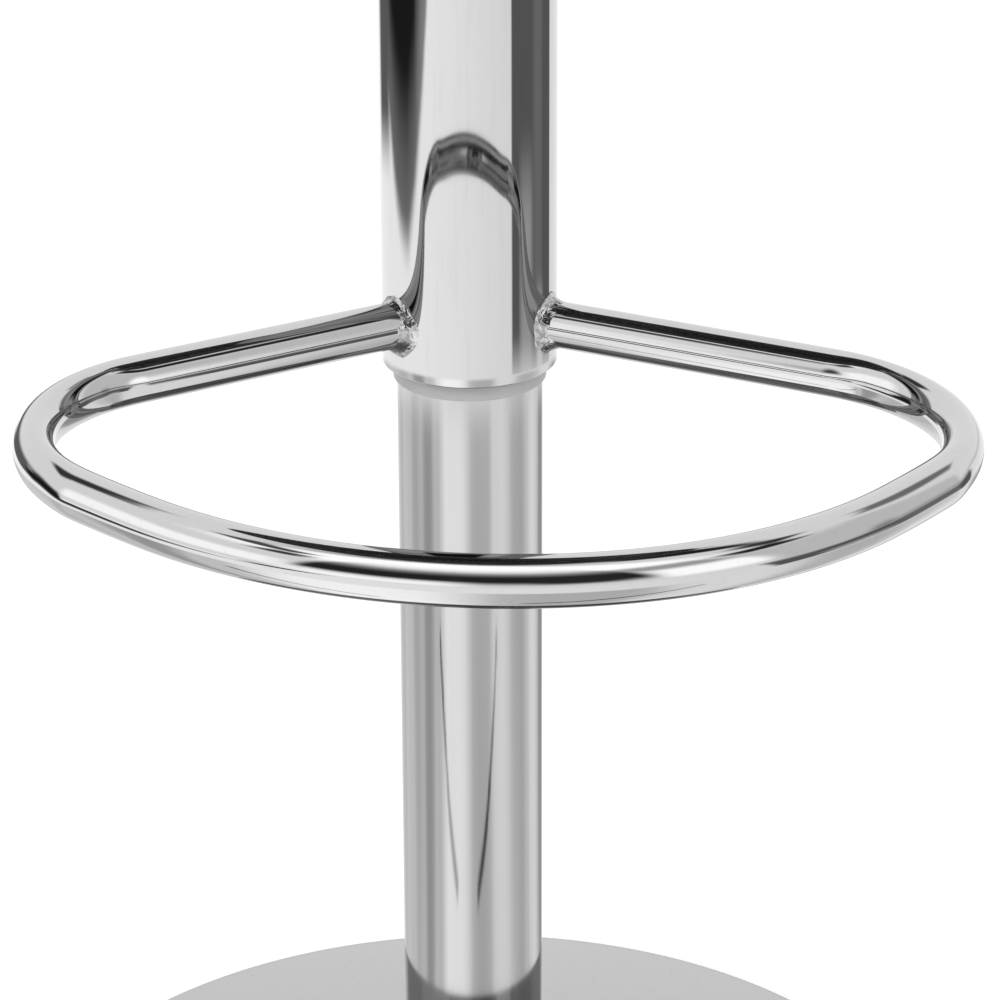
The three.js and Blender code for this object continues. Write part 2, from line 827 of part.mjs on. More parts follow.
function seatPan() {
  const half = slotWidth / 2;
  const wallInside = panLength / 2 - panWall;
  const shell = plate(roundedRectangle(panLength, panWidth, panCorner), panBottom, panTop - panBottom);
  const flangeOutline = roundedRectangle(panFlangeSize, panFlangeSize, panFlangeCorner);
  const flange = plate(flangeOutline, panFlangeBottom, panWall);
  const hollow = plate(
    roundedRectangle(panLength - 2 * panWall, panWidth - 2 * panWall, panCorner - panWall),
    panBottom + panWall, panTop - panBottom + overrun,
  );
  const slot = box(
    [wallInside - overrun, -half, pivotHeight - leverRadius - slotBelowLever],
    [wallInside + panWall + overrun, half, panFlangeBottom],
  );
  const holeRadius = socketRadius + seatGap;
  const socketHole = disc(holeRadius, panBottom - overrun, panBottom + panWall + overrun, smallSides);
  const pinHole = pivotBar(pivotPinRadius + seatGap, panWidth + 2 * overrun);
  const holes = boltHoles(boltRadius + seatGap, panFlangeBottom, panTop);
  return cut(join(shell, flange), hollow, slot, socketHole, pinHole, ...holes);
}

add('valve_body', valveBody(), steel);
add('valve_pin', valvePin(), whitePlastic);
add('seat_socket', seatSocket(), darkSteel);
add('seat_pan', seatPan(), darkSteel);
add('lever_pivot_pin', pivotBar(pivotPinRadius, panWidth + 2 * pivotPinProud), steel);
add('lever_rod', leverRod(), chrome);
add('lever_grip', leverGrip(), blackPlastic);

// Seat board between a dust cover and the foam, with T-nuts let into its top for the screws
const dustCoverThickness = 0.8;
const dustCoverInset = 4;
const boardThickness = 12;
const boardInset = 7.7;
const nutBarrelRadius = 5;
const nutBarrelLength = 8;
const nutFlangeRadius = 10;
const nutFlangeThickness = 1.6;
const nutBelowBoardTop = 0.3;
const screwHeadRadius = 6.5;
const screwHeadHeight = 3.8;
const screwHeadEdge = 1.2;
const screwSocketRadius = 2.3;
const screwSocketDepth = 2.4;
const screwSocketSides = 6;
const screwBelowNutTop = 2.4;

const dustCoverBottom = panTop + seatGap;
const boardBottom = dustCoverBottom + dustCoverThickness + seatGap;
const boardTop = boardBottom + boardThickness;
const boardRadius = seatRadius - boardInset;
const nutTop = boardTop - nutBelowBoardTop;
const nutFlangeBottom = nutTop - nutFlangeThickness;

function dustCover() {
  const radius = boardRadius - dustCoverInset;
  const sheet = disc(radius, dustCoverBottom, dustCoverBottom + dustCoverThickness, seatSides);
  return cut(sheet, ...boltHoles(boltRadius + seatGap, dustCoverBottom, boardBottom));
}

function seatBoard() {
  const recessBottom = nutFlangeBottom - seatGap;
  const recesses = boltPlaces.map(([x, y]) => (
    disc(nutFlangeRadius + seatGap, recessBottom, boardTop + overrun, tinySides).translate(x, y, 0)
  ));
  const bores = boltHoles(nutBarrelRadius + seatGap, boardBottom, boardTop);
  return cut(disc(boardRadius, boardBottom, boardTop, seatSides), ...bores, ...recesses);
}

function seatNut() {
  const bore = boltRadius + seatGap;
  return lathe([
    [bore, nutFlangeBottom - nutBarrelLength],
    [nutBarrelRadius, nutFlangeBottom - nutBarrelLength],
    [nutBarrelRadius, nutFlangeBottom],
    [nutFlangeRadius, nutFlangeBottom],
    [nutFlangeRadius, nutTop],
    [bore, nutTop],
  ], tinySides);
}

function seatScrew() {
  const headTop = panFlangeBottom - seatGap;
  const headBottom = headTop - screwHeadHeight;
  const end = nutTop - screwBelowNutTop;
  const body = lathe([
    [0, headBottom],
    [screwHeadRadius - screwHeadEdge, headBottom],
    [screwHeadRadius, headBottom + screwHeadEdge],
    [screwHeadRadius, headTop],
    [boltRadius, headTop],
    [boltRadius, end],
    [0, end],
  ], tinySides);
  const socketTop = headBottom + screwSocketDepth;
  return cut(body, disc(screwSocketRadius, headBottom - overrun, socketTop, screwSocketSides));
}

// Upholstery: the cover is drawn in by the band, bulges over it and crowns towards the middle
const bandHeight = 24;
const bandWall = 1.6;
const bandRibDepth = 1.4;
const bandRibCount = 3;
const bandRibShares = [0.3, 0.7];
const coverThickness = 1.6;
const cushionRise = 49;
const cushionSideRise = 20;
const cushionFullness = 2.6;
const cushionSideSteps = 3;
const cushionTopSteps = 7;

const bandTop = boardBottom + bandHeight;
const skirtRadius = boardRadius + seatGap + coverThickness;
const bandInside = skirtRadius + seatGap;

// The side and crown of the cushion from the band up, drawn in by the inset
// The crown is fuller than an ellipse
function cushionLine(inset) {
  const widest = seatRadius - inset;
  const drawnIn = skirtRadius - inset;
  const rim = bandTop + cushionSideRise;
  const crown = cushionRise - cushionSideRise - inset;
  const points = [];
  for (let i = 0; i < cushionSideSteps; i++) {
    const angle = 90 * degrees * i / cushionSideSteps;
    points.push([
      drawnIn + (widest - drawnIn) * Math.sin(angle),
      rim - cushionSideRise * Math.cos(angle),
    ]);
  }
  for (let i = 0; i < cushionTopSteps; i++) {
    const angle = 90 * degrees * i / cushionTopSteps;
    points.push([widest * Math.cos(angle) ** (2 / cushionFullness), rim + crown * Math.sin(angle)]);
  }
  points.push([0, rim + crown]);
  return points;
}

function seatCover() {
  return lathe([
    ...cushionLine(coverThickness).reverse(),
    [skirtRadius - coverThickness, boardBottom],
    [skirtRadius, boardBottom],
    ...cushionLine(0),
  ], seatSides);
}

function seatFoam() {
  const bottom = boardTop + seatGap;
  return lathe([
    [0, bottom],
    [boardRadius - seatGap, bottom],
    ...cushionLine(coverThickness + seatGap),
  ], seatSides);
}

function seatBand() {
  const outer = bandInside + bandWall;
  const pitch = bandHeight / bandRibCount;
  const points = [[bandInside, boardBottom]];
  for (let i = 0; i < bandRibCount; i++) {
    const bottom = boardBottom + pitch * i;
    points.push([outer, bottom]);
    for (const share of bandRibShares) points.push([outer + bandRibDepth, bottom + pitch * share]);
  }
  points.push([outer, bandTop], [bandInside, bandTop]);
  return lathe(points, seatSides);
}

add('dust_cover', dustCover(), cloth);
add('seat_board', seatBoard(), plywood);
add('seat_foam', seatFoam(), foam);
add('seat_cover', seatCover(), vinyl);
add('seat_band', seatBand(), chrome);
boltPlaces.forEach(([x, y], i) => {
  add(`seat_nut_${i + 1}`, seatNut().translate(x, y, 0), steel);
  add(`seat_screw_${i + 1}`, seatScrew().translate(x, y, 0), steel);
});

export default stool;
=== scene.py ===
import json
import math

import bmesh
import bpy
import numpy as np
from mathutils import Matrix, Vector


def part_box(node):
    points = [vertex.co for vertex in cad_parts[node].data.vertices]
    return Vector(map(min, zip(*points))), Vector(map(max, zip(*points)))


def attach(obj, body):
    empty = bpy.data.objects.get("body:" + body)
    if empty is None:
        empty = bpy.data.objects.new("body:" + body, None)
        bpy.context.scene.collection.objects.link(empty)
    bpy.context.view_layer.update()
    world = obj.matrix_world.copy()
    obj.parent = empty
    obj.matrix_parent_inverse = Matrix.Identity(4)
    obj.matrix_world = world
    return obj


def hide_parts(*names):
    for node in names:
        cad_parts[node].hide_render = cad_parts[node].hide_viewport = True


# Looks of a round padded counter stool on a gas lift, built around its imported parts.
# Metres, +Z up; the footrest points to -Y and the lift lever to +X.
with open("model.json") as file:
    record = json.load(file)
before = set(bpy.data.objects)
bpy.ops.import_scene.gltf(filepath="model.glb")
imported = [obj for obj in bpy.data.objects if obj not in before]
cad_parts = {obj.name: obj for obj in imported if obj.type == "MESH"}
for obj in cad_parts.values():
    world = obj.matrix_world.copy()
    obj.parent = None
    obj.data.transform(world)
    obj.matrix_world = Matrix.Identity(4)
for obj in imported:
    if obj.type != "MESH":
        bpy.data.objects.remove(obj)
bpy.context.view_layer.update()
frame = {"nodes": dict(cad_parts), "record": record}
mm = 0.001


# a number socket in an expression: each operator adds one Math node
class Num:
    def __init__(self, tree, socket):
        self.tree = tree
        self.socket = socket

    def maths(self, operation, *others, swap=False):
        node = self.tree.nodes.new("ShaderNodeMath")
        node.operation = operation
        values = [self, *others]
        if swap:
            values.reverse()
        for place, value in enumerate(values):
            if isinstance(value, Num):
                self.tree.links.new(value.socket, node.inputs[place])
            else:
                node.inputs[place].default_value = value
        return Num(self.tree, node.outputs[0])

    def __add__(self, other):
        return self.maths("ADD", other)

    __radd__ = __add__

    def __sub__(self, other):
        return self.maths("SUBTRACT", other)

    def __rsub__(self, other):
        return self.maths("SUBTRACT", other, swap=True)

    def __mul__(self, other):
        return self.maths("MULTIPLY", other)

    __rmul__ = __mul__

    def __truediv__(self, other):
        return self.maths("DIVIDE", other)

    def __abs__(self):
        return self.maths("ABSOLUTE")

    # from 0 to 1 on a smooth step between two values, or from 1 to 0 if low is over high
    def rise(self, low, high):
        sockets = {"Value": self, "From Min": min(low, high), "From Max": max(low, high)}
        if low > high:
            sockets.update({"To Min": 1.0, "To Max": 0.0})
        return Nodes(self.tree).number("MapRange", sockets, interpolation_type="SMOOTHSTEP")


class Nodes:
    def __init__(self, tree):
        self.tree = tree

    # any other node: its settings first, then the values or links of its sockets
    def make(self, kind, sockets=None, **settings):
        node = self.tree.nodes.new("ShaderNode" + kind)
        for name, value in settings.items():
            setattr(node, name, value)
        for name, value in (sockets or {}).items():
            value = getattr(value, "socket", value)
            if isinstance(value, bpy.types.NodeSocket):
                self.tree.links.new(value, node.inputs[name])
            elif isinstance(value, tuple) and node.inputs[name].type == "RGBA":
                node.inputs[name].default_value = (*value, 1)
            else:
                node.inputs[name].default_value = value
        return node

    def number(self, kind, sockets=None, output=0, **settings):
        return Num(self.tree, self.make(kind, sockets, **settings).outputs[output])

    # object coordinates, stretched for a pattern
    def place(self, stretch=(1, 1, 1)):
        coordinates = self.make("TexCoord").outputs["Object"]
        return self.make("Mapping", {"Vector": coordinates, "Scale": stretch}).outputs[0]

    def noise(self, scale, detail=2, roughness=0.5, stretch=(1, 1, 1), distortion=0):
        return self.number("TexNoise", {
            "Vector": self.place(stretch), "Scale": scale, "Detail": detail,
            "Roughness": roughness, "Distortion": distortion,
        })

    # a relief of a height over a distance, laid on another one if there is one under it
    def bump(self, height, distance, under=None):
        sockets = {"Height": height, "Distance": distance, "Strength": 1.0}
        if under is not None:
            sockets["Normal"] = under
        return self.make("Bump", sockets).outputs[0]

    # the three coordinates of a vector
    def split(self, vector):
        return [Num(self.tree, output) for output in self.make("SeparateXYZ", {0: vector}).outputs]


# the nodes of a new material or world, still empty
def emptyNodes(owner):
    owner.use_nodes = True
    owner.node_tree.nodes.clear()
    return Nodes(owner.node_tree)


# makes a material of one Principled shader from two colours and a recipe, which gives the tone
# between them, the roughness, the normal and maybe how metallic it is; even is the same all over
def asMaterial(name, first, second, even=None):
    def build(recipe):
        material = bpy.data.materials.new(name)
        nodes = emptyNodes(material)
        tone, roughness, normal, *metallic = recipe(nodes)
        colour = nodes.make("Mix", {0: tone, 6: first, 7: second}, data_type="RGBA").outputs[2]
        sockets = {"Base Color": colour, "Roughness": roughness, "Normal": normal, **(even or {})}
        if metallic:
            sockets["Metallic"] = metallic[0]
        shader = nodes.make("BsdfPrincipled", sockets)
        nodes.make("OutputMaterial", {"Surface": shader.outputs[0]})
        return material
    return build


print("shader helpers ready")

metal = {"Metallic": 1.0}
chromeLooks = {
    "bright": (0.62, 0.62, 0.622),
    "trim": (0.6, 0.6, 0.602),
    "base": (0.515, 0.515, 0.517),
    "scratched": 0.93,
    "ripple": 1.2e-5,
}


# plated metal: a cloudy haze, fine scratches along the piece and a very shallow ripple
def plated(name, tone, roughness, haze, along=(1, 1, 1)):
    clean = chromeLooks[tone]
    scratched = tuple(chromeLooks["scratched"] * part for part in clean)

    @asMaterial(name, clean, scratched, metal)
    def chrome(nodes):
        cloud = nodes.noise(14, 4, 0.6)
        smear = nodes.noise(420, 3, 0.65, along)
        dull = cloud.rise(0.38, 0.72) * haze + smear.rise(0.62, 0.8) * haze + roughness
        ripple = nodes.bump(nodes.noise(60, 1), chromeLooks["ripple"])
        return smear.rise(0.5, 0.75) * 0.6, dull, ripple
    return chrome


polishedChrome = plated("polished chrome", "bright", 0.03, 0.03, (1, 1, 0.06))
footrestChrome = plated("footrest chrome", "bright", 0.03, 0.035)
baseChrome = plated("base chrome", "base", 0.17, 0.05)
leverChrome = plated("lever chrome", "bright", 0.06, 0.05, (0.06, 1, 1))
trimChrome = plated("trim chrome", "trim", 0.05, 0.04)
bandChrome = plated("seat band chrome", "trim", 0.06, 0.05, (1, 1, 0.2))


# satin plating of the drawn post: long streaks that run up the tube, partly the plating's own and
# partly painted reflection of the studio
@asMaterial("satin chrome", (0.5, 0.5, 0.502), (0.63, 0.63, 0.632), metal)
def satinChrome(nodes):
    streakAndReflection = nodes.noise(95, 2, 0.5, (1, 1, 0.012))
    fine = nodes.noise(520, 3, 0.6, (1, 1, 0.01))
    # the streaks change the colour: part satin finish, part painted reflection
    return streakAndReflection.rise(0.36, 0.66) * 0.8 + fine * 0.2, fine * 0.04 + 0.05, nodes.bump(fine, 1.5e-5)


# plated weld bead: uneven tone, blotches and a fine grain between its ripples
@asMaterial("plated weld", (0.62, 0.62, 0.62), (0.4, 0.4, 0.402), metal)
def weldChrome(nodes):
    grain = nodes.noise(900, 3, 0.6)
    blotch = nodes.noise(260, 2, 0.5, distortion=1.2)
    rough = nodes.bump(grain, 5e-5, nodes.bump(blotch, 7e-4))
    return blotch.rise(0.4, 0.65), grain * 0.12 + 0.12, rough


# machined steel: turned lines round the axis and a dull oily cloud
@asMaterial("machined steel", (0.5, 0.51, 0.53), (0.34, 0.345, 0.355), metal)
def machinedSteel(nodes):
    lines = nodes.noise(2400, 2, stretch=(0.05, 0.05, 1))
    cloud = nodes.noise(90, 3)
    return cloud.rise(0.35, 0.7), cloud * 0.15 + 0.26, nodes.bump(lines, 2e-5)


# baked black paint: orange peel, and grey where edges and corners have rubbed
@asMaterial("baked black paint", (0.022, 0.023, 0.025), (0.16, 0.16, 0.165))
def blackPaint(nodes):
    peel = nodes.noise(1100, 2, 0.45)
    cloud = nodes.noise(55, 3, 0.6)
    pointed = nodes.number("NewGeometry", output="Pointiness")
    rubbed = pointed.rise(0.54, 0.62) * cloud.rise(0.45, 0.7)
    return rubbed, cloud * 0.18 + 0.34, nodes.bump(peel, 4e-5), rubbed * 0.7


# moulded plastic: a fine spark-eroded grain and a little dust
def moulded(name, colour, roughness, grain=3e-5, scale=1500):
    @asMaterial(name, colour, tuple(min(1.0, part * 1.12 + 0.004) for part in colour))
    def plastic(nodes):
        pits = nodes.noise(scale, 2, 0.55)
        return nodes.noise(40).rise(0.35, 0.7), pits * 0.12 + roughness, nodes.bump(pits, grain)
    return plastic


greyPlastic = moulded("grey slide plastic", (0.5, 0.5, 0.502), 0.3)
whitePlastic = moulded("natural acetal", (0.76, 0.75, 0.71), 0.38)
blackPlastic = moulded("black grip plastic", (0.02, 0.02, 0.021), 0.36, 5e-5, 1100)
blackRubber = moulded("black rubber", (0.028, 0.028, 0.028), 0.72, 8e-5, 700)
vinylGloss = {"Specular IOR Level": 0.4, "Coat Weight": 0.08, "Coat Roughness": 0.25}


# padded vinyl: pebbled leather grain of two sizes with creases between the pebbles, painted darker
# as painted shade
@asMaterial("black grained vinyl", (0.011, 0.011, 0.012), (0.024, 0.024, 0.026), vinylGloss)
def blackVinyl(nodes):
    bent = nodes.make("TexNoise", {"Vector": nodes.place(), "Scale": 260, "Detail": 2})
    shift = nodes.make("VectorMath", {0: bent.outputs["Color"], "Scale": 0.0012}, operation="SCALE")
    where = nodes.make("VectorMath", {0: nodes.place(), 1: shift.outputs[0]}, operation="ADD")
    cells = {"Vector": where.outputs[0], "Scale": 620, "Randomness": 1.0}
    pebble = nodes.number("TexVoronoi", cells, feature="DISTANCE_TO_EDGE").rise(0.0, 0.22)
    soft, cloud = nodes.noise(130, 3, 0.6), nodes.noise(12, 3, 0.6)
    grain = nodes.bump(soft, 1.6e-4, nodes.bump(pebble, 9e-5))
    # the colour is darker in the creases: painted shade; the cloud is a random tone
    return pebble * 0.7 + cloud * 0.3, 0.44 - pebble * 0.1 + cloud * 0.08, grain


# non-woven cloth under the seat: matted fibres and a grid of bonding points
@asMaterial(
    "black non-woven cloth", (0.016, 0.016, 0.017), (0.05, 0.05, 0.052), {"Sheen Weight": 0.25},
)
def dustCloth(nodes):
    x, y, _ = nodes.split(nodes.place((900, 900, 900)))
    points = (x.maths("SINE") * y.maths("SINE")).rise(0.45, 0.9)
    fibres = nodes.noise(1300, 4, 0.7, (1, 0.3, 1))
    return fibres.rise(0.3, 0.7), 0.93 - points * 0.15, nodes.bump(fibres - points * 0.6, 1.2e-4)


# plywood: long grain on the faces and thin layers on the edge
@asMaterial("raw plywood", (0.62, 0.44, 0.26), (0.42, 0.27, 0.14))
def rawPlywood(nodes):
    grain = nodes.noise(1.6, 5, 0.65, (9, 160, 9), 0.4)
    pores = nodes.noise(1, 2, stretch=(60, 900, 900))
    layers = (nodes.split(nodes.place())[2] * 2600).maths("SINE").rise(-0.3, 0.3)
    return grain.rise(0.3, 0.7) * 0.6 + layers * 0.4, pores * 0.15 + 0.6, nodes.bump(pores, 1e-4)


@asMaterial("open-cell foam", (0.8, 0.72, 0.46), (0.7, 0.6, 0.34))
def paleFoam(nodes):
    pores = nodes.number("TexVoronoi", {"Vector": nodes.place(), "Scale": 900})
    return nodes.noise(30), 0.95, nodes.bump(pores, 3e-4)


# every CAD node gets its finish by the record's slot, also where a finer piece stands for it
finishOfSlot = {
    "pad_rubber": blackRubber, "dark_steel": blackPaint, "base_chrome": baseChrome,
    "chrome": polishedChrome, "satin_chrome": satinChrome, "steel": machinedSteel,
    "rubber": blackRubber, "white_plastic": whitePlastic, "grey_plastic": greyPlastic,
    "black_plastic": blackPlastic, "weld": weldChrome, "lever_chrome": leverChrome,
    "dust_cloth": dustCloth, "plywood": rawPlywood, "foam": paleFoam, "vinyl": blackVinyl,
    "band_chrome": bandChrome,
}
slotOfNode = {part["node"]: part["material_slot"] for part in frame["record"]["subparts"]}
for node, cadObject in frame["nodes"].items():
    finish = finishOfSlot[slotOfNode[node]]
    if not cadObject.material_slots:
        cadObject.data.materials.append(finish)
    for slot in cadObject.material_slots:
        slot.material = finish

print("finishes ready")


def newObject(name, data):
    thing = bpy.data.objects.new(name, data)
    bpy.context.scene.collection.objects.link(thing)
    return thing


# one closed mesh built from grids of points
class Surface:
    def __init__(self):
        self.points, self.faces, self.count = [], [], 0

    # quads between the rows of a grid and round each row; the rows may close on themselves too
    def grid(self, points, wrapRows=False):
        rows, columns = points.shape[:2]
        numbers = self.count + np.arange(rows * columns).reshape(rows, columns)
        here, ahead = numbers[:-1], numbers[1:]
        if wrapRows:
            here, ahead = numbers, np.roll(numbers, -1, axis=0)
        quads = np.stack([here, np.roll(here, -1, axis=1), np.roll(ahead, -1, axis=1), ahead], -1)
        self.faces.extend(quads.reshape(-1, 4).tolist())
        self.points.append(points.reshape(-1, 3))
        self.count += rows * columns
        return numbers

    # a grid that closes on itself both ways
    def ring(self, points):
        self.grid(points, wrapRows=True)
        return self

    # a fan of triangles from one point to a ring of numbered points
    def fan(self, ring, centre):
        self.points.append(np.asarray(centre, float).reshape(1, 3))
        triangles = np.column_stack([ring, np.roll(ring, -1), np.full(len(ring), self.count)])
        self.faces.extend(triangles.tolist())
        self.count += 1

    # a grid whose two ends are closed over, each towards its own point
    def closed(self, points, first, last):
        numbers = self.grid(points)
        self.fan(numbers[0], first)
        self.fan(numbers[-1], last)
        return self

    def make(self, name, finish, smoothAngle=40.0):
        mesh = bpy.data.meshes.new(name)
        mesh.from_pydata(np.concatenate(self.points), [], self.faces)
        shell = bmesh.new()
        shell.from_mesh(mesh)
        bmesh.ops.recalc_face_normals(shell, faces=shell.faces)
        shell.to_mesh(mesh)
        shell.free()
        mesh.shade_smooth()
        mesh.set_sharp_from_angle(angle=math.radians(smoothAngle))
        mesh.materials.append(finish)
        return newObject(name, mesh)


# a piece rides on its body and stands for its CAD nodes
def fit(piece, body, slot, *nodes):
    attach(piece, body)
    if nodes:
        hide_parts(*nodes)
    return piece


# a finer piece in the place of one CAD node
def standIn(surface, node, body, smoothAngle=40.0, finish=None):
    slot = slotOfNode[node]
    piece = surface.make(node + "_fine", finish or finishOfSlot[slot], smoothAngle)
    return fit(piece, body, slot, node)


# even angles round a circle
def anglesRound(count):
    return np.linspace(0, 2 * np.pi, count, endpoint=False)


# points of two coordinates, of which one may be the same for all
def pairs(first, second):
    return np.stack(np.broadcast_arrays(first, second), -1)


# x = radius cos(angle), y = radius sin(angle), z = height
def polar(radius, angle, height):
    flat = radius * np.cos(angle), radius * np.sin(angle)
    return np.stack(np.broadcast_arrays(*flat, height), -1)


# a profile of (radius, height), in one or more parts, turned round the axis
def turned(parts, sides):
    profile = np.concatenate(parts)
    return polar(profile[:, :1], anglesRound(sides), profile[:, 1:2])


# the same round another axis: order says which of radius cos, radius sin and height is x, y, z
def turnedAbout(parts, sides, place, order):
    return turned(parts, sides)[..., order] + np.asarray(place)


# a closed profile turned into a ring, in the place of a CAD node
def ringPiece(node, body, parts, sides=192, smoothAngle=40.0, finish=None):
    return standIn(Surface().ring(turned(parts, sides)), node, body, smoothAngle, finish)


# points of an arc of a profile, from one angle to another in degrees
def arcPoints(centre, radius, start, end, steps):
    angle = np.radians(np.linspace(start, end, steps + 1))
    return pairs(centre[0] + radius * np.cos(angle), centre[1] + radius * np.sin(angle))


# the rounded outer corner of a profile whose sides meet at a radius and height
def roundedCorner(radius, height, rounding, steps, below=False):
    if below:
        return arcPoints((radius - rounding, height + rounding), rounding, -90, 0, steps)
    return arcPoints((radius - rounding, height - rounding), rounding, 0, 90, steps)


# the straight outer side of a tube
def upright(radius, low, high, rows=30):
    return pairs(radius, np.linspace(low, high, rows))


# a rectangle with rounded corners, anticlockwise
def roundedOutline(halfX, halfY, corner, steps=6):
    return np.concatenate([
        arcPoints((x * (halfX - corner), y * (halfY - corner)), corner, start, start + 90, steps)
        for x, y, start in ((1, 1, 0), (-1, 1, 90), (-1, -1, 180), (1, -1, 270))
    ])


# a path in a plane from its pieces' lengths and turns: heading adds up turn, place adds up heading
def bentLine(lengths, turns, heading, start, end, rows):
    knots = np.append(0, np.cumsum(lengths))
    fine = np.linspace(0, knots[-1], 24001)
    headings = np.interp(fine, knots, heading + np.append(0, np.cumsum(turns)))
    middle, step = (headings[1:] + headings[:-1]) / 2, fine[1] - fine[0]
    along = np.linspace(start, knots[-1] - end, rows)
    across, up = (
        np.interp(along, fine, np.append(0, np.cumsum(part(middle) * step)))
        for part in (np.cos, np.sin)
    )
    return knots, along, across, up, np.interp(along, fine, headings)


# outer radius and the lowest and highest level of a round CAD node
def roundSize(node):
    low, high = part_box(node)
    return high.x, low.z, high.z


baseSizes = {
    "rounding": 2.5 * mm, "wall": 1.8 * mm, "crown": 15 * mm, "hole": 26 * mm, "edge": 0.3 * mm,
    "sides": 320,
}


# height = rim + crown (1 - (radius / brow)^2), with a rounded rim and a turned-down wall
def buildBaseCover(rounding, wall, crown, hole, edge, sides):
    outer, bottom, top = roundSize("base_cover")
    brow = outer - rounding
    rim = top - crown * (1 - (hole / brow) ** 2) - rounding
    radius = np.linspace(brow, hole, 60)
    height = rim + rounding + crown * (1 - (radius / brow) ** 2)
    ringPiece("base_cover", "base", [
        [[outer - wall, bottom], [outer - edge, bottom], [outer, bottom + edge]],
        arcPoints((brow, rim), rounding, 0, 90, 12),
        pairs(radius, height)[1:],
        pairs(radius, height - wall)[::-1],
        arcPoints((brow, rim), rounding - wall, 90, 0, 4)[1:],
    ], sides)


trimSizes = {"width": 11 * mm, "foot": 1.6 * mm, "lip": 1.4 * mm, "edge": 0.3 * mm, "sides": 128}


# a hollow quarter sweep from the foot of the trim ring to its lip round the post
def buildTrimRing(width, foot, lip, edge, sides):
    outer, bottom, top = roundSize("base_trim_ring")
    inner, angle = outer - width, np.radians(np.linspace(0, 90, 20))[:-1]
    across, up = outer - inner - lip, top - bottom - foot
    ringPiece("base_trim_ring", "base", [
        [[inner, bottom], [outer - edge, bottom], [outer, bottom + edge]],
        pairs(outer - across * np.sin(angle), top - up * np.cos(angle)),
        [[inner + lip, top - edge], [inner + lip - edge, top], [inner, top]],
    ], sides, finish=trimChrome)


buildBaseCover(**baseSizes)
buildTrimRing(**trimSizes)
print("base ready")

postSizes = {
    "wall": 1.6 * mm, "taper": 0.8 * mm, "taperTop": 28 * mm, "floor": (11 * mm, 14 * mm),
    "hole": 5.6 * mm,
}


# a tube with a floor, drawn in a little at its foot
def buildPost(wall, taper, taperTop, floor, hole):
    outer, bottom, top = roundSize("post")
    foot, inner, (low, high) = outer - taper, outer - wall, floor
    ringPiece("post", "base", [
        [[hole, low], [foot - wall, low], [foot - wall, bottom], [foot, bottom], [outer, taperTop]],
        upright(outer, taperTop + 2 * mm, top - mm),
        roundedCorner(outer, top, 0.6 * mm, 5),
        [[inner, top], [inner, high], [hole, high]],
    ], smoothAngle=30.0)


tubeSizes = {"wall": 1.5 * mm, "rim": 0.75 * mm}


# a tube with a half-round rim below
def buildCoverTube(wall, rim):
    outer, bottom, top = roundSize("cover_tube")
    ringPiece("cover_tube", "lift", [
        arcPoints((outer - rim, bottom + rim), rim, 180, 360, 16),
        upright(outer, bottom + 4 * mm, top - 2 * mm),
        roundedCorner(outer, top, 0.4 * mm, 5),
        [[outer - wall, top]],
    ], smoothAngle=50.0)


collarSizes = {"bore": 25.4 * mm, "lip": 26.3 * mm, "below": 6 * mm, "step": 0.8 * mm}


# a slide bush whose lip shows under the rim
def buildCollar(bore, lip, below, step):
    outer, bottom, top = roundSize("tube_collar")
    level = bottom + below + step
    ringPiece("tube_collar", "lift", [
        [[bore, bottom + 0.3 * mm], [bore + 0.3 * mm, bottom]],
        roundedCorner(lip, bottom, 0.4 * mm, 5, below=True),
        [[lip, level], [outer, level + step], [outer, top], [bore, top]],
    ])


cupSizes = {"wall": 1.8 * mm, "bore": 14.3 * mm, "flange": 2 * mm}


# a moulded plug with a flange that closes the tube
def buildCup(wall, bore, flange):
    outer, bottom, top = roundSize("tube_cup")
    plug, level = outer - wall, top - flange
    ringPiece("tube_cup", "lift", [
        [[bore, bottom], [plug, bottom], [plug, level]],
        [[outer - 0.2 * mm, level], [outer, level + 0.2 * mm]],
        roundedCorner(outer, top, 0.8 * mm, 6),
        [[bore, top]],
    ], 128)


socketSizes = {"width": 6 * mm, "flange": (9.5 * mm, 13 * mm), "bore": (14.3 * mm, 13.8 * mm)}


# a turned socket with a flange in its middle
def buildSocket(width, flange, bore):
    outer, bottom, top = roundSize("seat_socket")
    body, soft, (wide, narrow) = outer - width, 0.5 * mm, bore
    low, high = (bottom + level for level in flange)
    ringPiece("seat_socket", "lift", [
        [[wide, bottom], [body - 0.8 * mm, bottom], [body, bottom + 0.8 * mm], [body, low - mm]],
        arcPoints((body + mm, low - mm), mm, 180, 90, 4)[1:],
        [[outer - soft, low], [outer, low + soft], [outer, high - soft], [outer - soft, high]],
        [[body, high], [body, top - soft], [body - soft, top], [narrow, top]],
    ], 96, 30.0)


buildPost(**postSizes)
buildCoverTube(**tubeSizes)
buildCollar(**collarSizes)
buildCup(**cupSizes)
buildSocket(**socketSizes)
print("column ready")

footrestSizes = {
    "radius": 8 * mm, "frontRadius": 157.2 * mm, "frontHalfTurn": math.radians(45.9),
    "cheekLength": 26.3 * mm, "cheekTurn": math.radians(3), "cornerRadius": 63.2 * mm,
    "armAngle": math.radians(28.9), "lean": math.radians(1.6), "height": 350 * mm,
    "tubeRadius": 30 * mm, "flattening": 0.155, "bulge": 0.03, "bendOnset": 2.2,
    "endFit": 6 * mm, "rows": 900, "sides": 56,
}


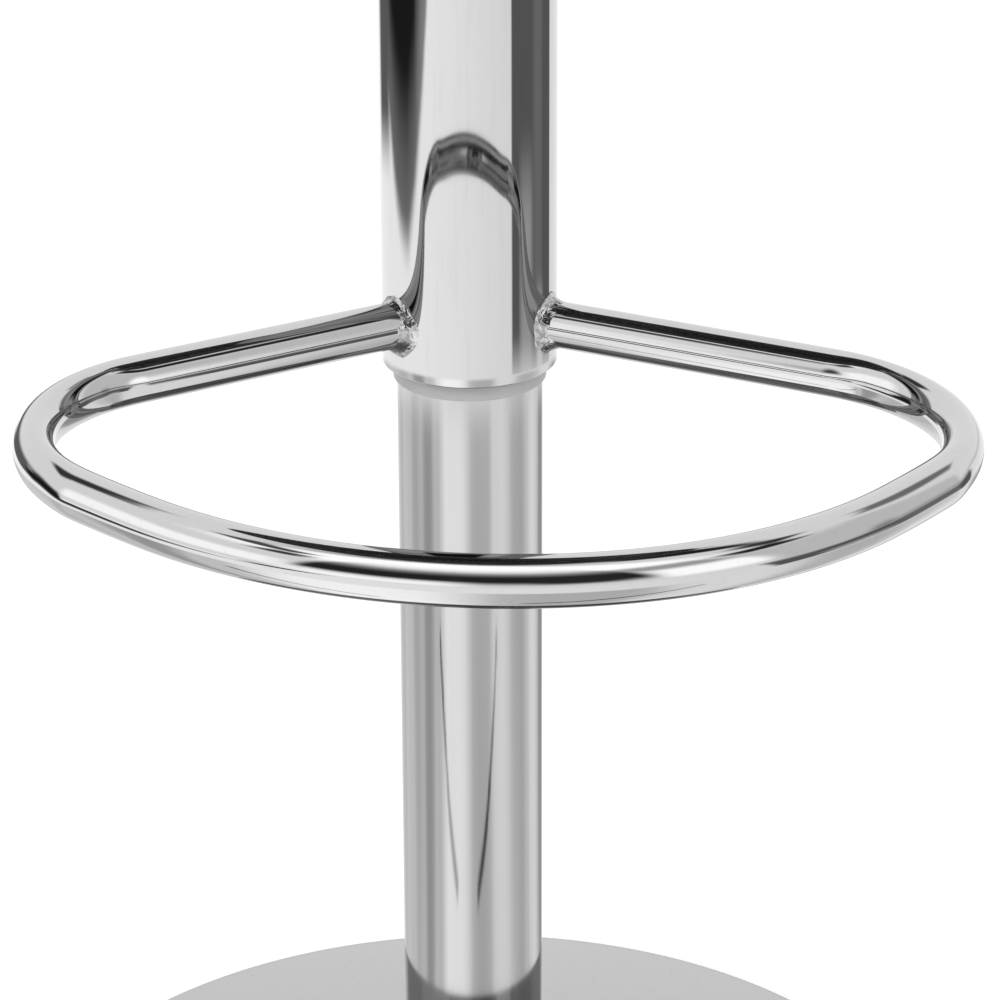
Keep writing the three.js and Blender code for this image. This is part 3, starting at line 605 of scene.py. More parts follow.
# lengths and turns of the centreline: arm, corner, cheek, front arc and back again
def footrestPieces():
    size = footrestSizes
    front, arm = size["frontHalfTurn"], size["armAngle"]
    wide = front + size["cheekTurn"]
    cornerTurn = math.pi - arm - front - size["cheekTurn"]
    across = size["frontRadius"] * math.sin(front)
    across += size["cheekLength"] / size["cheekTurn"] * (math.sin(wide) - math.sin(front))
    across += size["cornerRadius"] * (math.sin(arm) - math.sin(wide))
    side = [across / math.cos(arm), size["cornerRadius"] * cornerTurn, size["cheekLength"]]
    turns = [0, cornerTurn, size["cheekTurn"]]
    return [*side, 2 * size["frontRadius"] * front, *side[::-1]], [*turns, 2 * front, *turns[::-1]]


# turns by the lean about Y and lifts to the footrest's height
def settle(points):
    size = footrestSizes
    c, s = math.cos(size["lean"]), math.sin(size["lean"])
    x, y, z = points[..., 0], points[..., 1], points[..., 2]
    return np.stack([c * x + s * z, y, c * z - s * x + size["height"]], -1)


# an oval carried along the centreline: place + out across it + up
def buildFootrest():
    size = footrestSizes
    radius, tube = size["radius"], size["tubeRadius"]
    start = math.sqrt(tube ** 2 - radius ** 2)
    heading = math.pi + size["armAngle"]
    knots, along, cx, cy, turn = bentLine(*footrestPieces(), heading, start, start, size["rows"])
    # the tube is drawn in across the bend and a little taller there
    narrow = np.zeros_like(along)
    for low, high in ((knots[1], knots[2]), (knots[5], knots[6])):
        share = np.clip((along - low) / (high - low), 0, 1)
        narrow += np.clip(np.sin(np.pi * share) * size["bendOnset"], 0, 1)
    narrow = narrow * narrow * (3 - 2 * narrow)
    wide = radius * (1 - size["flattening"] * narrow)
    tall = radius * (1 + size["bulge"] * narrow)
    angle = anglesRound(size["sides"])
    out = wide[:, None] * np.cos(angle)
    points = np.stack([
        cx[:, None] + out * np.sin(turn)[:, None],
        cy[:, None] - out * np.cos(turn)[:, None],
        tall[:, None] * np.sin(angle) + 0 * cx[:, None],
    ], -1)
    # the ends follow the round of the cover tube
    reach = np.sqrt(tube ** 2 - (radius * np.cos(angle)) ** 2) - start
    near = np.clip(1 - np.abs(along - start) / size["endFit"], 0, 1)[:, None]
    far = np.clip(1 - np.abs(along - knots[-1] + start) / size["endFit"], 0, 1)[:, None]
    push = near * reach - far * reach
    points[..., 0] += push * np.cos(turn)[:, None]
    points[..., 1] += push * np.sin(turn)[:, None]
    ends = settle(np.array([[cx[0], cy[0], 0.0], [cx[-1], cy[-1], 0.0]]))
    tube = Surface().closed(settle(points), *ends)
    standIn(tube, "footrest_tube", "lift", 60.0, footrestChrome)


weldSizes = {
    "reach": 5.5 * mm, "thickness": 3.2 * mm, "belly": 1.15,
    "lumps": ((3, 2, 0.12), (5, 1, 0.09), (9, 0, 0.06)),  # how many, shift, depth
    "ripples": (22, 0.012), "heavierBelow": 0.12, "sink": 0.15 * mm, "inside": 0.6 * mm,
}


# a bead laid round the arm where it meets the cover tube, a little lumpy and faintly rippled
def buildWeld(side, node):
    size, arm = weldSizes, footrestSizes["radius"]
    ring = anglesRound(240)
    lumps = sum(
        depth * np.sin(count * ring + shift * side) for count, shift, depth in size["lumps"]
    )
    count, depth = size["ripples"]
    ripples = depth * np.sin(count * ring + 1.3 * np.sin(3 * ring))
    uneven = 1 + lumps + ripples - size["heavierBelow"] * np.sin(ring)
    # a quarter curve from the wall of the tube to the arm, a little bellied
    curve = np.radians(90 * np.linspace(0, 1, 15))
    out = (1 - np.sin(curve) ** size["belly"])[:, None] * size["thickness"] * uneven
    reach = (1 - np.cos(curve) ** size["belly"])[:, None] * size["reach"] * uneven
    radius = np.concatenate([arm - 0.1 * mm + out, np.full((1, len(ring)), arm - size["inside"])])
    lateral, height = radius * np.cos(ring), radius * np.sin(ring)
    axial = np.sqrt((footrestSizes["tubeRadius"] - size["sink"]) ** 2 - lateral ** 2)
    axial[:-1] += reach
    c, s = math.cos(footrestSizes["armAngle"]), math.sin(footrestSizes["armAngle"])
    points = np.stack([side * (axial * c + lateral * s), -axial * s + lateral * c, height], -1)
    standIn(Surface().ring(settle(points)), node, "lift", 70.0)


buildFootrest()
buildWeld(1, "footrest_weld_right")
buildWeld(-1, "footrest_weld_left")
print("footrest ready")

seatSizes = {
    "radius": 190 * mm, "skirt": 184.2 * mm, "sideRise": 20 * mm, "crown": 29 * mm,
    "fullness": 2.9, "bandTop": 763.1 * mm, "foamBottom": 751.4 * mm, "inset": 3.5 * mm,
    "voxel": 4.5 * mm, "swellLimit": 3.5 * mm, "frames": 20, "gathers": 54,
    "gatherDepth": 0.55 * mm, "grooveDepth": 0.9 * mm, "slack": 0.5 * mm,
    "pipingRadius": 2.1 * mm, "pipingOut": 0.6 * mm,
}
seamLevel = seatSizes["bandTop"] + seatSizes["sideRise"]
stuffing = {
    "quality": 6, "mass": 0.3, "tension_stiffness": 25, "compression_stiffness": 25,
    "shear_stiffness": 12, "bending_stiffness": 6, "use_pressure": True,
    "uniform_pressure_force": 4.0, "vertex_group_mass": "held",
}


# the cushion before it swells: from the band a quarter wave out to its widest, then a full crown
def cushionStart():
    size = seatSizes
    inset, bottom = size["inset"], size["foamBottom"] + 0.1 * mm
    widest, drawnIn = size["radius"] - inset, size["skirt"] - 0.5 * mm
    side = np.radians(np.linspace(0, 90, 13))[:-1]
    top = np.radians(np.linspace(0, 90, 60))[:-1]
    bulge, pole = drawnIn + (widest - drawnIn) * np.sin(side), size["crown"] - inset
    profile = [
        [[drawnIn, bottom], [drawnIn, (size["foamBottom"] + size["bandTop"]) / 2]],
        pairs(bulge, seamLevel - size["sideRise"] * np.cos(side)),
        pairs(widest * np.cos(top) ** (2 / size["fullness"]), seamLevel + pole * np.sin(top)),
    ]
    ends = (0, 0, bottom), (0, 0, seamLevel + size["crown"] - inset)
    surface = Surface().closed(turned(profile, 180), *ends)
    return surface.make("seat_cover_padded", blackVinyl, 180.0)


def applyModifiers(piece):
    bpy.context.view_layer.update()
    graph = bpy.context.evaluated_depsgraph_get()
    mesh = bpy.data.meshes.new_from_object(piece.evaluated_get(graph))
    old = piece.data
    piece.modifiers.clear()
    piece.data = mesh
    bpy.data.meshes.remove(old)


def vertexArray(mesh):
    places = np.empty(len(mesh.vertices) * 3)
    mesh.vertices.foreach_get("co", places)
    return places.reshape(-1, 3)


def setVertices(mesh, places):
    mesh.vertices.foreach_set("co", places.ravel())
    mesh.update()


# swells the cushion by cloth simulation; no point moves further than the limit
def inflate(piece):
    size = seatSizes
    start = vertexArray(piece.data)
    # the band holds the lower edge and the seam holds its line
    outside = np.hypot(start[:, 0], start[:, 1]) > size["skirt"]
    onSeam = (np.abs(start[:, 2] - seamLevel) < 3 * mm) & outside
    low = start[:, 2] < size["bandTop"] - mm
    held = piece.vertex_groups.new(name="held")
    held.add(np.nonzero(low | onSeam)[0].tolist(), 1.0, "REPLACE")
    cloth = piece.modifiers.new("stuffing", "CLOTH")
    for name, value in stuffing.items():
        setattr(cloth.settings, name, value)
    cloth.settings.effector_weights.gravity = 0
    cloth.point_cache.frame_start = 1
    cloth.point_cache.frame_end = size["frames"]
    scene = bpy.context.scene
    for number in range(1, size["frames"] + 1):
        scene.frame_set(number)
    applyModifiers(piece)
    moved = vertexArray(piece.data) - start
    distance = np.linalg.norm(moved, axis=1, keepdims=True)
    limited = moved * np.minimum(1, size["swellLimit"] / np.maximum(distance, 1e-9))
    setVertices(piece.data, start + limited)
    scene.frame_set(1)


# gathers where the cover is drawn into the band, a sewn groove, and the slack of a sat-on crown
def dressCushion(piece):
    size = seatSizes
    x, y, z = vertexArray(piece.data).T
    radius, angle = np.hypot(x, y), np.arctan2(y, x)
    rise = np.clip((z - size["bandTop"]) / size["sideRise"], 0, 1)
    bent = size["gathers"] * angle + 2.1 * np.sin(5 * angle) + 1.4 * np.sin(11 * angle + 1)
    uneven = np.sin(bent) + 0.5 * np.sin(31 * angle + 3 * np.sin(4 * angle))
    fading = np.sin(np.pi * np.clip(rise * 1.15, 0, 1)) ** 2 * (1 - rise)
    gather = size["gatherDepth"] * uneven * fading
    nearSeam = np.exp(-((z - seamLevel) / (3 * mm)) ** 2) * (radius > size["radius"] * 0.94)
    out = gather * (radius > size["skirt"] * 0.97) - size["grooveDepth"] * nearSeam
    share = np.clip(radius / size["radius"], 0, 1)
    slack = size["slack"] * np.sin(5 * angle + 7 * share) * share ** 2 * (1 - share) * 4
    lift = slack * (z > seamLevel + 4 * mm)
    factor = (radius + out) / np.maximum(radius, 1e-6)
    setVertices(piece.data, np.column_stack([x * factor, y * factor, z + lift]))


def buildCushion():
    piece = cushionStart()
    remesh = piece.modifiers.new("even mesh", "REMESH")
    remesh.mode = "VOXEL"
    remesh.voxel_size = seatSizes["voxel"]
    remesh.use_smooth_shade = True
    applyModifiers(piece)
    inflate(piece)
    dressCushion(piece)
    subdivision = piece.modifiers.new("subdivision", "SUBSURF")
    subdivision.levels = 1
    subdivision.render_levels = 1
    applyModifiers(piece)
    piece.data.polygons.foreach_set("use_smooth", np.ones(len(piece.data.polygons), bool))
    piece.data.materials.clear()
    piece.data.materials.append(blackVinyl)
    fit(piece, "lift", "vinyl", "seat_cover", "seat_foam")
    return piece


# a round cord sewn into the seam: a circle carried round the widest line of the cushion
def buildPiping(cushion):
    size = seatSizes
    places = vertexArray(cushion.data)
    near = places[np.abs(places[:, 2] - seamLevel) < 2.5 * mm]
    near = near[np.hypot(near[:, 0], near[:, 1]) > size["radius"] * 0.9]
    angles, radii = np.arctan2(near[:, 1], near[:, 0]), np.hypot(near[:, 0], near[:, 1])
    # the mean radius in each of some sectors, smoothed with its neighbours
    bins = 72
    place = ((angles + np.pi) / (2 * np.pi) * bins).astype(int) % bins
    mean = np.bincount(place, radii, bins) / np.maximum(np.bincount(place, minlength=bins), 1)
    mean = (np.roll(mean, 1) + mean + np.roll(mean, -1)) / 3
    turn = np.linspace(-np.pi, np.pi, 360, endpoint=False)
    centres = -np.pi + (np.arange(bins + 2) - 0.5) * 2 * np.pi / bins
    ring = np.interp(turn, centres, np.concatenate([mean[-1:], mean, mean[:1]])) + size["pipingOut"]
    ring = np.minimum(ring, size["radius"] + 0.4 * mm)[:, None]
    section = anglesRound(16)
    pull = 1 + 0.03 * np.sin(120 * turn)[:, None]
    radius = ring + size["pipingRadius"] * pull * np.cos(section)
    height = seamLevel + size["pipingRadius"] * np.sin(section)
    surface = Surface().ring(polar(radius, turn[:, None], height))
    fit(surface.make("seat_piping", blackVinyl, 180.0), "lift", "vinyl")


hemSizes = {"wall": 1.6 * mm, "rounding": 1.4 * mm, "edge": 178.6 * mm}


# the hem of the cover that goes down inside the band and turns in under the edge of the board
def buildHem(wall, rounding, edge):
    bottom = roundSize("seat_board")[1]
    outer, top = seatSizes["skirt"], seatSizes["foamBottom"] - 0.2 * mm
    inner, under, over = outer - wall, bottom - 0.8 * mm, bottom - 0.1 * mm
    profile = [
        [[inner, top], [inner, over], [edge + 0.3 * mm, over]],
        [[edge, bottom - 0.4 * mm], [edge + 0.3 * mm, under]],
        roundedCorner(outer, under, rounding, 6, below=True),
        [[outer, top]],
    ]
    hem = Surface().ring(turned(profile, 180)).make("seat_cover_hem", blackVinyl)
    fit(hem, "lift", "vinyl")


bandSizes = {"wall": 1.6 * mm, "depth": 1.4 * mm, "ribs": 3, "edge": 0.3 * mm}


# rolled ribs: radius = outer - depth + depth sin^1.4 of the height within each rib
def buildBand(wall, depth, ribs, edge):
    outer, bottom, top = roundSize("seat_band")
    inner, height = outer - depth - wall, np.linspace(bottom, top, 91)
    wave = np.sin(np.pi * (height - bottom) / (top - bottom) * ribs) ** 2
    outside = pairs(outer - depth + depth * wave ** 0.7, height)
    outside[[0, -1], 0] -= edge
    ringPiece("seat_band", "lift", [[[inner, bottom]], outside, [[inner, top]]], 256, 50.0)


buildPiping(buildCushion())
buildHem(**hemSizes)
buildBand(**bandSizes)
print("seat ready")

panSizes = {
    "half": (60 * mm, 32 * mm, 12 * mm), "flange": (90 * mm, 90 * mm, 14 * mm),
    "wall": 2.5 * mm, "bend": 4 * mm, "shoulder": 3 * mm, "hole": 20 * mm, "edge": 0.4 * mm,
    "slot": (6.5 * mm, 718.7 * mm, 733 * mm, 3 * mm),  # half width, from, to, rounding
}


# one closed section carried round a rounded rectangle: flange, shoulder, wall, bend, floor and hole
def buildPan(half, flange, wall, bend, shoulder, hole, edge, slot):
    _, low, high = roundSize("seat_pan")
    half, flange, hole = np.array(half), np.array(flange), np.full(3, hole)
    foot, head = low + bend, high - wall - shoulder

    # half widths and corner of an outline, at a level
    def row(shape, level):
        outline = roundedOutline(*shape, 12)
        return np.column_stack([outline, np.full(len(outline), level)])

    # rows along an arc of the section: offset from the wall's outer face, and level
    def bendRows(*arc):
        return [row(half + offset, level) for offset, level in arcPoints(*arc)]

    pan = Surface().ring(np.stack([
        row(flange, high - edge), row(flange, high - wall + edge), row(flange - edge, high - wall),
        *bendRows((shoulder, head), shoulder, 90, 180, 8),
        *bendRows((-bend, foot), bend, 0, -90, 8),
        row(hole, low), row(hole, low + wall),
        *bendRows((-bend, foot), bend - wall, -90, 0, 6),
        *bendRows((shoulder, head), shoulder + wall, 180, 90, 8),
        row(flange - edge, high),
    ])).make("seat_pan_fine", blackPaint, 30.0)
    # the slot for the lever, cut by a bar with rounded edges
    halfWide, bottom, top, rounding = slot
    middle = (top + bottom) / 2
    y, z = roundedOutline(halfWide, (top - bottom) / 2, rounding, 6).T
    ends = half[0] - 10 * mm, half[0] + 6 * mm
    tool = Surface().closed(
        np.stack([np.column_stack([x + 0 * y, y, z + middle]) for x in ends]),
        *[(x, 0, middle) for x in ends],
    ).make("slot cutter", blackPaint)
    cut = pan.modifiers.new("slot", "BOOLEAN")
    cut.operation, cut.solver, cut.object = "DIFFERENCE", "EXACT", tool
    applyModifiers(pan)
    bpy.data.objects.remove(tool)
    pan.data.shade_smooth()
    pan.data.set_sharp_from_angle(angle=math.radians(30))
    fit(pan, "lift", "dark_steel", "seat_pan")


screwSizes = {"socket": 2.3 * mm, "depth": 2.2 * mm, "sides": 48}


# a round-headed screw; its hexagon socket is radius = flat / cos of the angle from a flat's middle
def buildScrew(node, socket, depth, sides):
    low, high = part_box(node)
    centre, tall = (low + high) / 2, high.z - low.z
    head = high.x - centre.x
    angle = anglesRound(sides)
    hexagon = socket / np.cos((angle + np.pi / 6) % (np.pi / 3) - np.pi / 6)
    rows = [
        (hexagon, depth), (hexagon, 0.2 * mm), (hexagon + 0.2 * mm, 0.0), (4.2 * mm, 0.0),
        (5.2 * mm, 0.35 * mm), (5.95 * mm, 1.0 * mm), (6.35 * mm, 1.8 * mm), (head, 2.6 * mm),
        (head, 3.6 * mm), (head - 0.2 * mm, 3.8 * mm), (3 * mm, 3.8 * mm),
        (3 * mm, tall - 0.4 * mm), (2.6 * mm, tall),
    ]
    points = np.stack([polar(radius, angle, level) for radius, level in rows])
    points += np.array([centre.x, centre.y, low.z])
    ends = [(centre.x, centre.y, level) for level in (low.z + depth, high.z)]
    standIn(Surface().closed(points, *ends), node, "lift", 35.0)


stapleSizes = {
    "ring": 171.5 * mm, "count": 36, "length": 9 * mm, "wire": 0.35 * mm, "bend": 0.6 * mm,
}


# wire staples in a ring: a square wire along a U whose legs go up into the board
def buildStaples(ring, count, length, wire, bend):
    bottom = roundSize("dust_cover")[1]
    half, crown, leg = length / 2, bottom - 0.2 * mm, bottom + 3 * mm
    path = np.array([[-half, leg], [-half, crown + bend], [bend - half, crown],
                     [half - bend, crown], [half, crown + bend], [half, leg]])
    normal = np.array([[-1, 0], [-1, -0.4], [-0.4, -1], [0.4, -1], [1, -0.4], [1, 0]])
    corner = np.array([[1, 1], [-1, 1], [-1, -1], [1, -1]]) * wire
    along = path[:, None, 0] + normal[:, None, 0] * corner[:, 0]
    level = path[:, None, 1] + normal[:, None, 1] * corner[:, 0]
    out = ring + corner[:, 1] + 0 * along
    surface = Surface()
    for turn in 2 * np.pi * (np.arange(count) + 0.5) / count:
        skew = turn + 0.25 * math.sin(7 * turn)
        x = out * math.cos(turn) - along * math.sin(skew)
        y = out * math.sin(turn) + along * math.cos(skew)
        points = np.stack([x, y, level], -1)
        surface.closed(points, points[0].mean(0), points[-1].mean(0))
    fit(surface.make("dust_cover_staples", machinedSteel, 30.0), "lift", "steel")


clothSizes = {"thick": 0.5 * mm, "flat": 92 * mm, "sag": 1.2 * mm, "pucker": 0.35 * mm}


# cloth pulled over the board: it sags a little between the pan and its staples, in shallow folds
def buildDustCover(thick, flat, sag, pucker):
    outer, bottom, _ = roundSize("dust_cover")
    level, ring, count = bottom + 0.1 * mm, stapleSizes["ring"], stapleSizes["count"]
    radius, angle = np.linspace(4 * mm, outer - 0.3 * mm, 56)[:, None], anglesRound(180)
    x, y = radius * np.cos(angle), radius * np.sin(angle)
    clear = np.maximum(np.abs(x), np.abs(y)) - flat
    inside = np.clip(clear / (14 * mm), 0, 1) * np.clip((ring - radius) / (10 * mm), 0, 1)
    folds = 0.6 + 0.3 * np.sin(9 * angle + 2 * np.sin(2 * angle))
    folds = folds + 0.2 * np.sin(23 * angle + 60 * radius)
    drawn = pucker * np.cos(count * angle) * np.clip(radius / ring, 0, 1) ** 12
    fall = inside * folds * sag + np.maximum(drawn, 0) * (clear > 0)
    lower = np.stack([x, y, level - fall], -1)
    both = np.concatenate([lower, lower[::-1] + np.array([0, 0, thick])])
    cloth = Surface().closed(both, (0, 0, level), (0, 0, level + thick))
    standIn(cloth, "dust_cover", "lift", 60.0)


padSizes = {"grooves": 6, "depth": 0.9 * mm, "plainRim": 0.96, "rounding": 0.6 * mm}


# a moulded disc with rounded edges; its underside has ring grooves, depth = a sine's upper half
def buildFloorPad(grooves, depth, plainRim, rounding):
    outer, bottom, top = roundSize("floor_pad")
    radius = np.linspace(6 * mm, outer - mm, 220)
    share = radius / outer
    wave = np.maximum(0, np.sin(2 * np.pi * grooves * share)) ** 0.5
    profile = [
        pairs(radius, bottom + depth * wave * (share < plainRim)),
        roundedCorner(outer, bottom, rounding, 4, below=True)[1:],
        roundedCorner(outer, top, rounding, 4), [[60 * mm, top]],
    ]
    pad = Surface().closed(turned(profile, 160), (0, 0, bottom), (0, 0, top))
    standIn(pad, "floor_pad", "base")


buildPan(**panSizes)
for number in range(1, 5):
    buildScrew(f"seat_screw_{number}", **screwSizes)
buildDustCover(**clothSizes)
buildStaples(**stapleSizes)
buildFloorPad(**padSizes)
print("underside ready")

leverSizes = {
    "pivot": (30 * mm, 0, 723.9 * mm), "rod": 4 * mm, "start": 68 * mm, "end": 184 * mm,
    "bend": math.radians(20), "bendRadius": 30 * mm, "straight": 42 * mm,
    "boss": (2.8 * mm, 6.6 * mm, 6 * mm, 0.6 * mm),  # bore, radius, half length, edge
    "tongue": (5 * mm, 1.3 * mm, 2.2 * mm),  # half width, half thickness, bend
    "foot": (-2 * mm, 2.6 * mm), "tip": -6 * mm, "rows": 110,
}


# an outline carried along a path in the XZ plane: place + across Y + up along the path's normal
def carryAlong(surface, x, z, heading, outline):
    points = np.stack([
        x[:, None] - outline[..., 1] * np.sin(heading)[:, None],
        outline[..., 0] + 0 * x[:, None],
        z[:, None] + outline[..., 1] * np.cos(heading)[:, None],
    ], -1)
    surface.closed(points, (x[0], 0, z[0]), (x[-1], 0, z[-1]))


# the cranked rod, the boss on its pin and the pressed tongue that reaches over the valve
def buildLeverRod(
    pivot, rod, start, end, bend, bendRadius, straight, boss, tongue, foot, tip, rows,
):
    pivotX, _, pivotZ = pivot
    run = 2 * bendRadius * math.sin(bend) + straight * math.cos(bend)
    bent, tail = bendRadius * bend, end - start - run
    lengths = [start - pivotX, bent, straight, bent, tail]
    _, _, x, z, heading = bentLine(lengths, [0, -bend, 0, bend, 0], 0, rod, 0, rows)
    surface = Surface()
    circle = arcPoints((0, 0), rod, 0, 360, 32)[:-1]
    carryAlong(surface, x + pivotX, z + pivotZ, heading, np.broadcast_to(circle, (rows, 32, 2)))
    bore, outer, half, edge = boss
    profile = [[bore, -half], [outer - edge, -half], [outer, edge - half],
               [outer, half - edge], [outer - edge, half], [bore, half]]
    surface.ring(turnedAbout([profile], 48, pivot, [0, 2, 1]))
    halfWide, halfThick, corner = tongue
    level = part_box("lever_rod")[1].z - halfThick
    footX, footZ = pivotX + foot[0], pivotZ + foot[1]
    lengths = [level - corner - footZ, corner * math.pi / 2, footX - corner - tip]
    _, along, x, z, heading = bentLine(lengths, [0, math.pi / 2, 0], math.pi / 2, 0, 0, 90)
    # the strip narrows to a half circle at its tip
    share = np.clip((along - along[-1] + 4 * mm) / (4.2 * mm), 0, 1)
    outline = roundedOutline(halfWide, halfThick, 0.5 * mm, 4)
    strip = np.broadcast_to(outline, (90, *outline.shape)).copy()
    strip[..., 0] *= np.sqrt(1 - share ** 2)[:, None]
    carryAlong(surface, x + footX, z + footZ, heading, strip)
    standIn(surface, "lever_rod", "lever")


gripSizes = {
    "bore": 4.3 * mm, "end": 3 * mm, "mouth": 1.5 * mm, "count": 5, "pitch": 3.4 * mm,
    "depth": 0.55 * mm, "first": 5 * mm,
}


# a moulded sleeve: radius = outer less a ring groove sin^2 at each pitch near its mouth
def buildGrip(bore, end, mouth, count, pitch, depth, first):
    low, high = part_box("lever_grip")
    middle, outer, soft = (low.z + high.z) / 2, (high.z - low.z) / 2, 0.4 * mm
    along = np.linspace(low.x + mouth, high.x - end, 90)
    rings = (along - low.x - first) / pitch
    groove = np.sin(np.pi * rings) ** 2 * (rings > 0) * (rings < count)
    profile = [
        [[bore, high.x - end], [bore, low.x + soft], [bore + soft, low.x], [outer - mouth, low.x]],
        pairs(outer - depth * groove, along),
        arcPoints((outer - end, high.x - end), end, 0, 84, 10)[1:],
    ]
    sleeve = turnedAbout(profile, 64, (0, 0, middle), [2, 0, 1])
    ends = (high.x - end, 0, middle), (high.x, 0, middle)
    standIn(Surface().closed(sleeve, *ends), "lever_grip", "lever", 50.0)


def buildPivotPin():
    low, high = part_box("lever_pivot_pin")
    radius, edge = (high.x - low.x) / 2, 0.5 * mm
    profile = [[radius - edge, low.y], [radius, low.y + edge],
               [radius, high.y - edge], [radius - edge, high.y]]
    x, _, z = leverSizes["pivot"]
    pin = turnedAbout([profile], 40, (x, 0, z), [0, 2, 1])
    standIn(Surface().closed(pin, (x, low.y, z), (x, high.y, z)), "lever_pivot_pin", "lift")


buildLeverRod(**leverSizes)
buildGrip(**gripSizes)
buildPivotPin()
print("lever ready")

# what polished metal sees of the studio, by azimuth and elevation in degrees: azimuth 0 is in
# front and 90 to the right; each panel lays its tone over the ones before it. In a row: azimuth,
# half width, edge, lower edge (from, to), upper edge (from, to), tone
studioPanels = [
    ("overhead box", -12, 84, 14, (44, 62), (95, 94), 1.6),
    ("overhead back", 180, 66, 24, (62, 80), (95, 94), 0.42),
    ("left box", -75, 25, 6, (-2, 8), (34, 22), 1.45),
    ("right strip", 46, 12, 3, (-4, 10), (38, 28), 1.55),
    ("right strip top", 45, 14, 4, (34, 42), (58, 48), 0.5),
    ("right wall", 84, 25, 4, (-40, -39), (50, 36), 0.74),
    ("right corner", 88, 3, 3, (-40, -39), (12, -8), 0.3),
    ("back right low", 118, 34, 8, (-40, -39), (4, -14), 0.3),
    ("back left low", -150, 24, 8, (-40, -39), (8, -2), 0.14),
    ("left flag", -114, 11, 4, (-40, -39), (6, -4), 0.03),
    ("room behind the camera", -7.5, 39, 2.5, (-1, 21), (76, 34), 0.024),
    ("room low left", -30, 18, 8, (-8, 2), (22, 4), 1.45),
    ("room low right", 16, 8, 6, (3, 17), (40, 36), 0.03),
    ("gap over the lens", -11, 1.5, 1.5, (14, 20), (38, 34), 0.11),
    ("right arc low", 78, 13, 5, (42, 45), (54, 51), 0.03),
    ("right arc", 101, 12, 5, (50, 53), (62, 58), 0.06),
    ("right arc high", 135, 24, 6, (55, 60), (76, 71), 0.02),
    ("back right arc", 129, 10, 5, (30, 34), (46, 42), 0.22),
    ("back left arc", -142, 13, 6, (35, 39), (54, 48), 0.05),
    ("left arc low", -63, 8, 4, (46, 50), (60, 56), 0.07),
    ("left arc high", -88, 22, 5, (58, 61), (69, 65), 0.1),
]
studioSizes = {
    "room": 1.05, "belowRoom": 0.05, "roomEdge": (-12, 4), "light": 0.8, "secondImage": 0.62,
    "backWall": ((180, 26, 10), (4, 14), (48, 38)),
}
# the same for the floor round the base, as strips: azimuth, half width, change of tone
floorStrips = [
    (-30, 28, 0.6), (12, 20, -0.16), (42, 20, 0.25), (75, 18, -0.14), (110, 17, 0.24),
    (143, 18, -0.42), (174, 18, 0.1), (-148, 14, -0.12), (-127, 13, 0.02), (-103, 12, -0.12),
    (-76, 13, -0.34),
]
floorSizes = {
    "halfWidth": 3.0, "level": -0.3 * mm, "colour": (0.86, 0.86, 0.86),
    "near": 0.78, "nearTone": 0.8, "frontTone": 1.12, "leftToRight": 0.12,
    "glow": 0.25, "farGlow": 0.7, "farFrom": (0.9, 2.4),
    # painted reflection: two thin dark lines in front, only in the floor's mirrored glow, which
    # meet towards the stool: start, end, depth
    "paintedReflectionLines": [((-0.43, -0.3), (-0.14, -0.245), 0.8), ((0.02, -0.279), (0.3, -0.43), 0.62)],
    "paintedReflectionLineEdge": (0.019, 0.003), "paintedReflectionLineEnd": 0.02,
}
# dark flags on the floor, each a sector (azimuth, half width, edge) and radii from and to, with
# tones; the left one stands past a line that leans out towards the front
floorFlags = {
    "leftLine": (1.03, 0.33, 0.12), "leftTone": (0.2, 0.185, (0.1, 0.45)),
    "leftGap": (-75, 21, 4, 1.75, 1.95), "leftLight": ((-60, 10, 8), 0.12),
    "backLeft": ((-141, 14, 6, 1.18, 1.36), 0.14),
    "right": ((87, 35.5, 1.5, 0.84, 0.95), 0.13), "rightFar": ((1.9, 2.6), 0.3),
    "rightLights": [
        ((74, 8, 6, 1.35, 1.1), 0.3), ((95, 6, 6), 0.07), ((99, 5, 4, 1.05, 0.92), 0.5),
    ],
}


# a flat distance from the middle, and a flat direction of length 1
def flatDirection(x, y):
    radius = (x * x + y * y).maths("SQRT") + 0.001
    return radius, x / radius, y / radius


# 1 where a flat direction lies within half a width of an azimuth a: cosine = x sin a - y cos a
def facing(x, y, azimuth, half, edge):
    angle = math.radians(azimuth)
    outside, inside = (math.cos(math.radians(min(180, half + way * edge))) for way in (1, -1))
    return (x * math.sin(angle) - y * math.cos(angle)).rise(outside, inside)


# polished metal seen in polished metal is darker; bounces is the ray depth of a first mirror image
def onceMore(nodes, path, bounces, share):
    depth = Num(nodes.tree, path.outputs["Ray Depth"])
    return 1.0 - depth.rise(bounces + 0.4, bounces + 0.6) * share


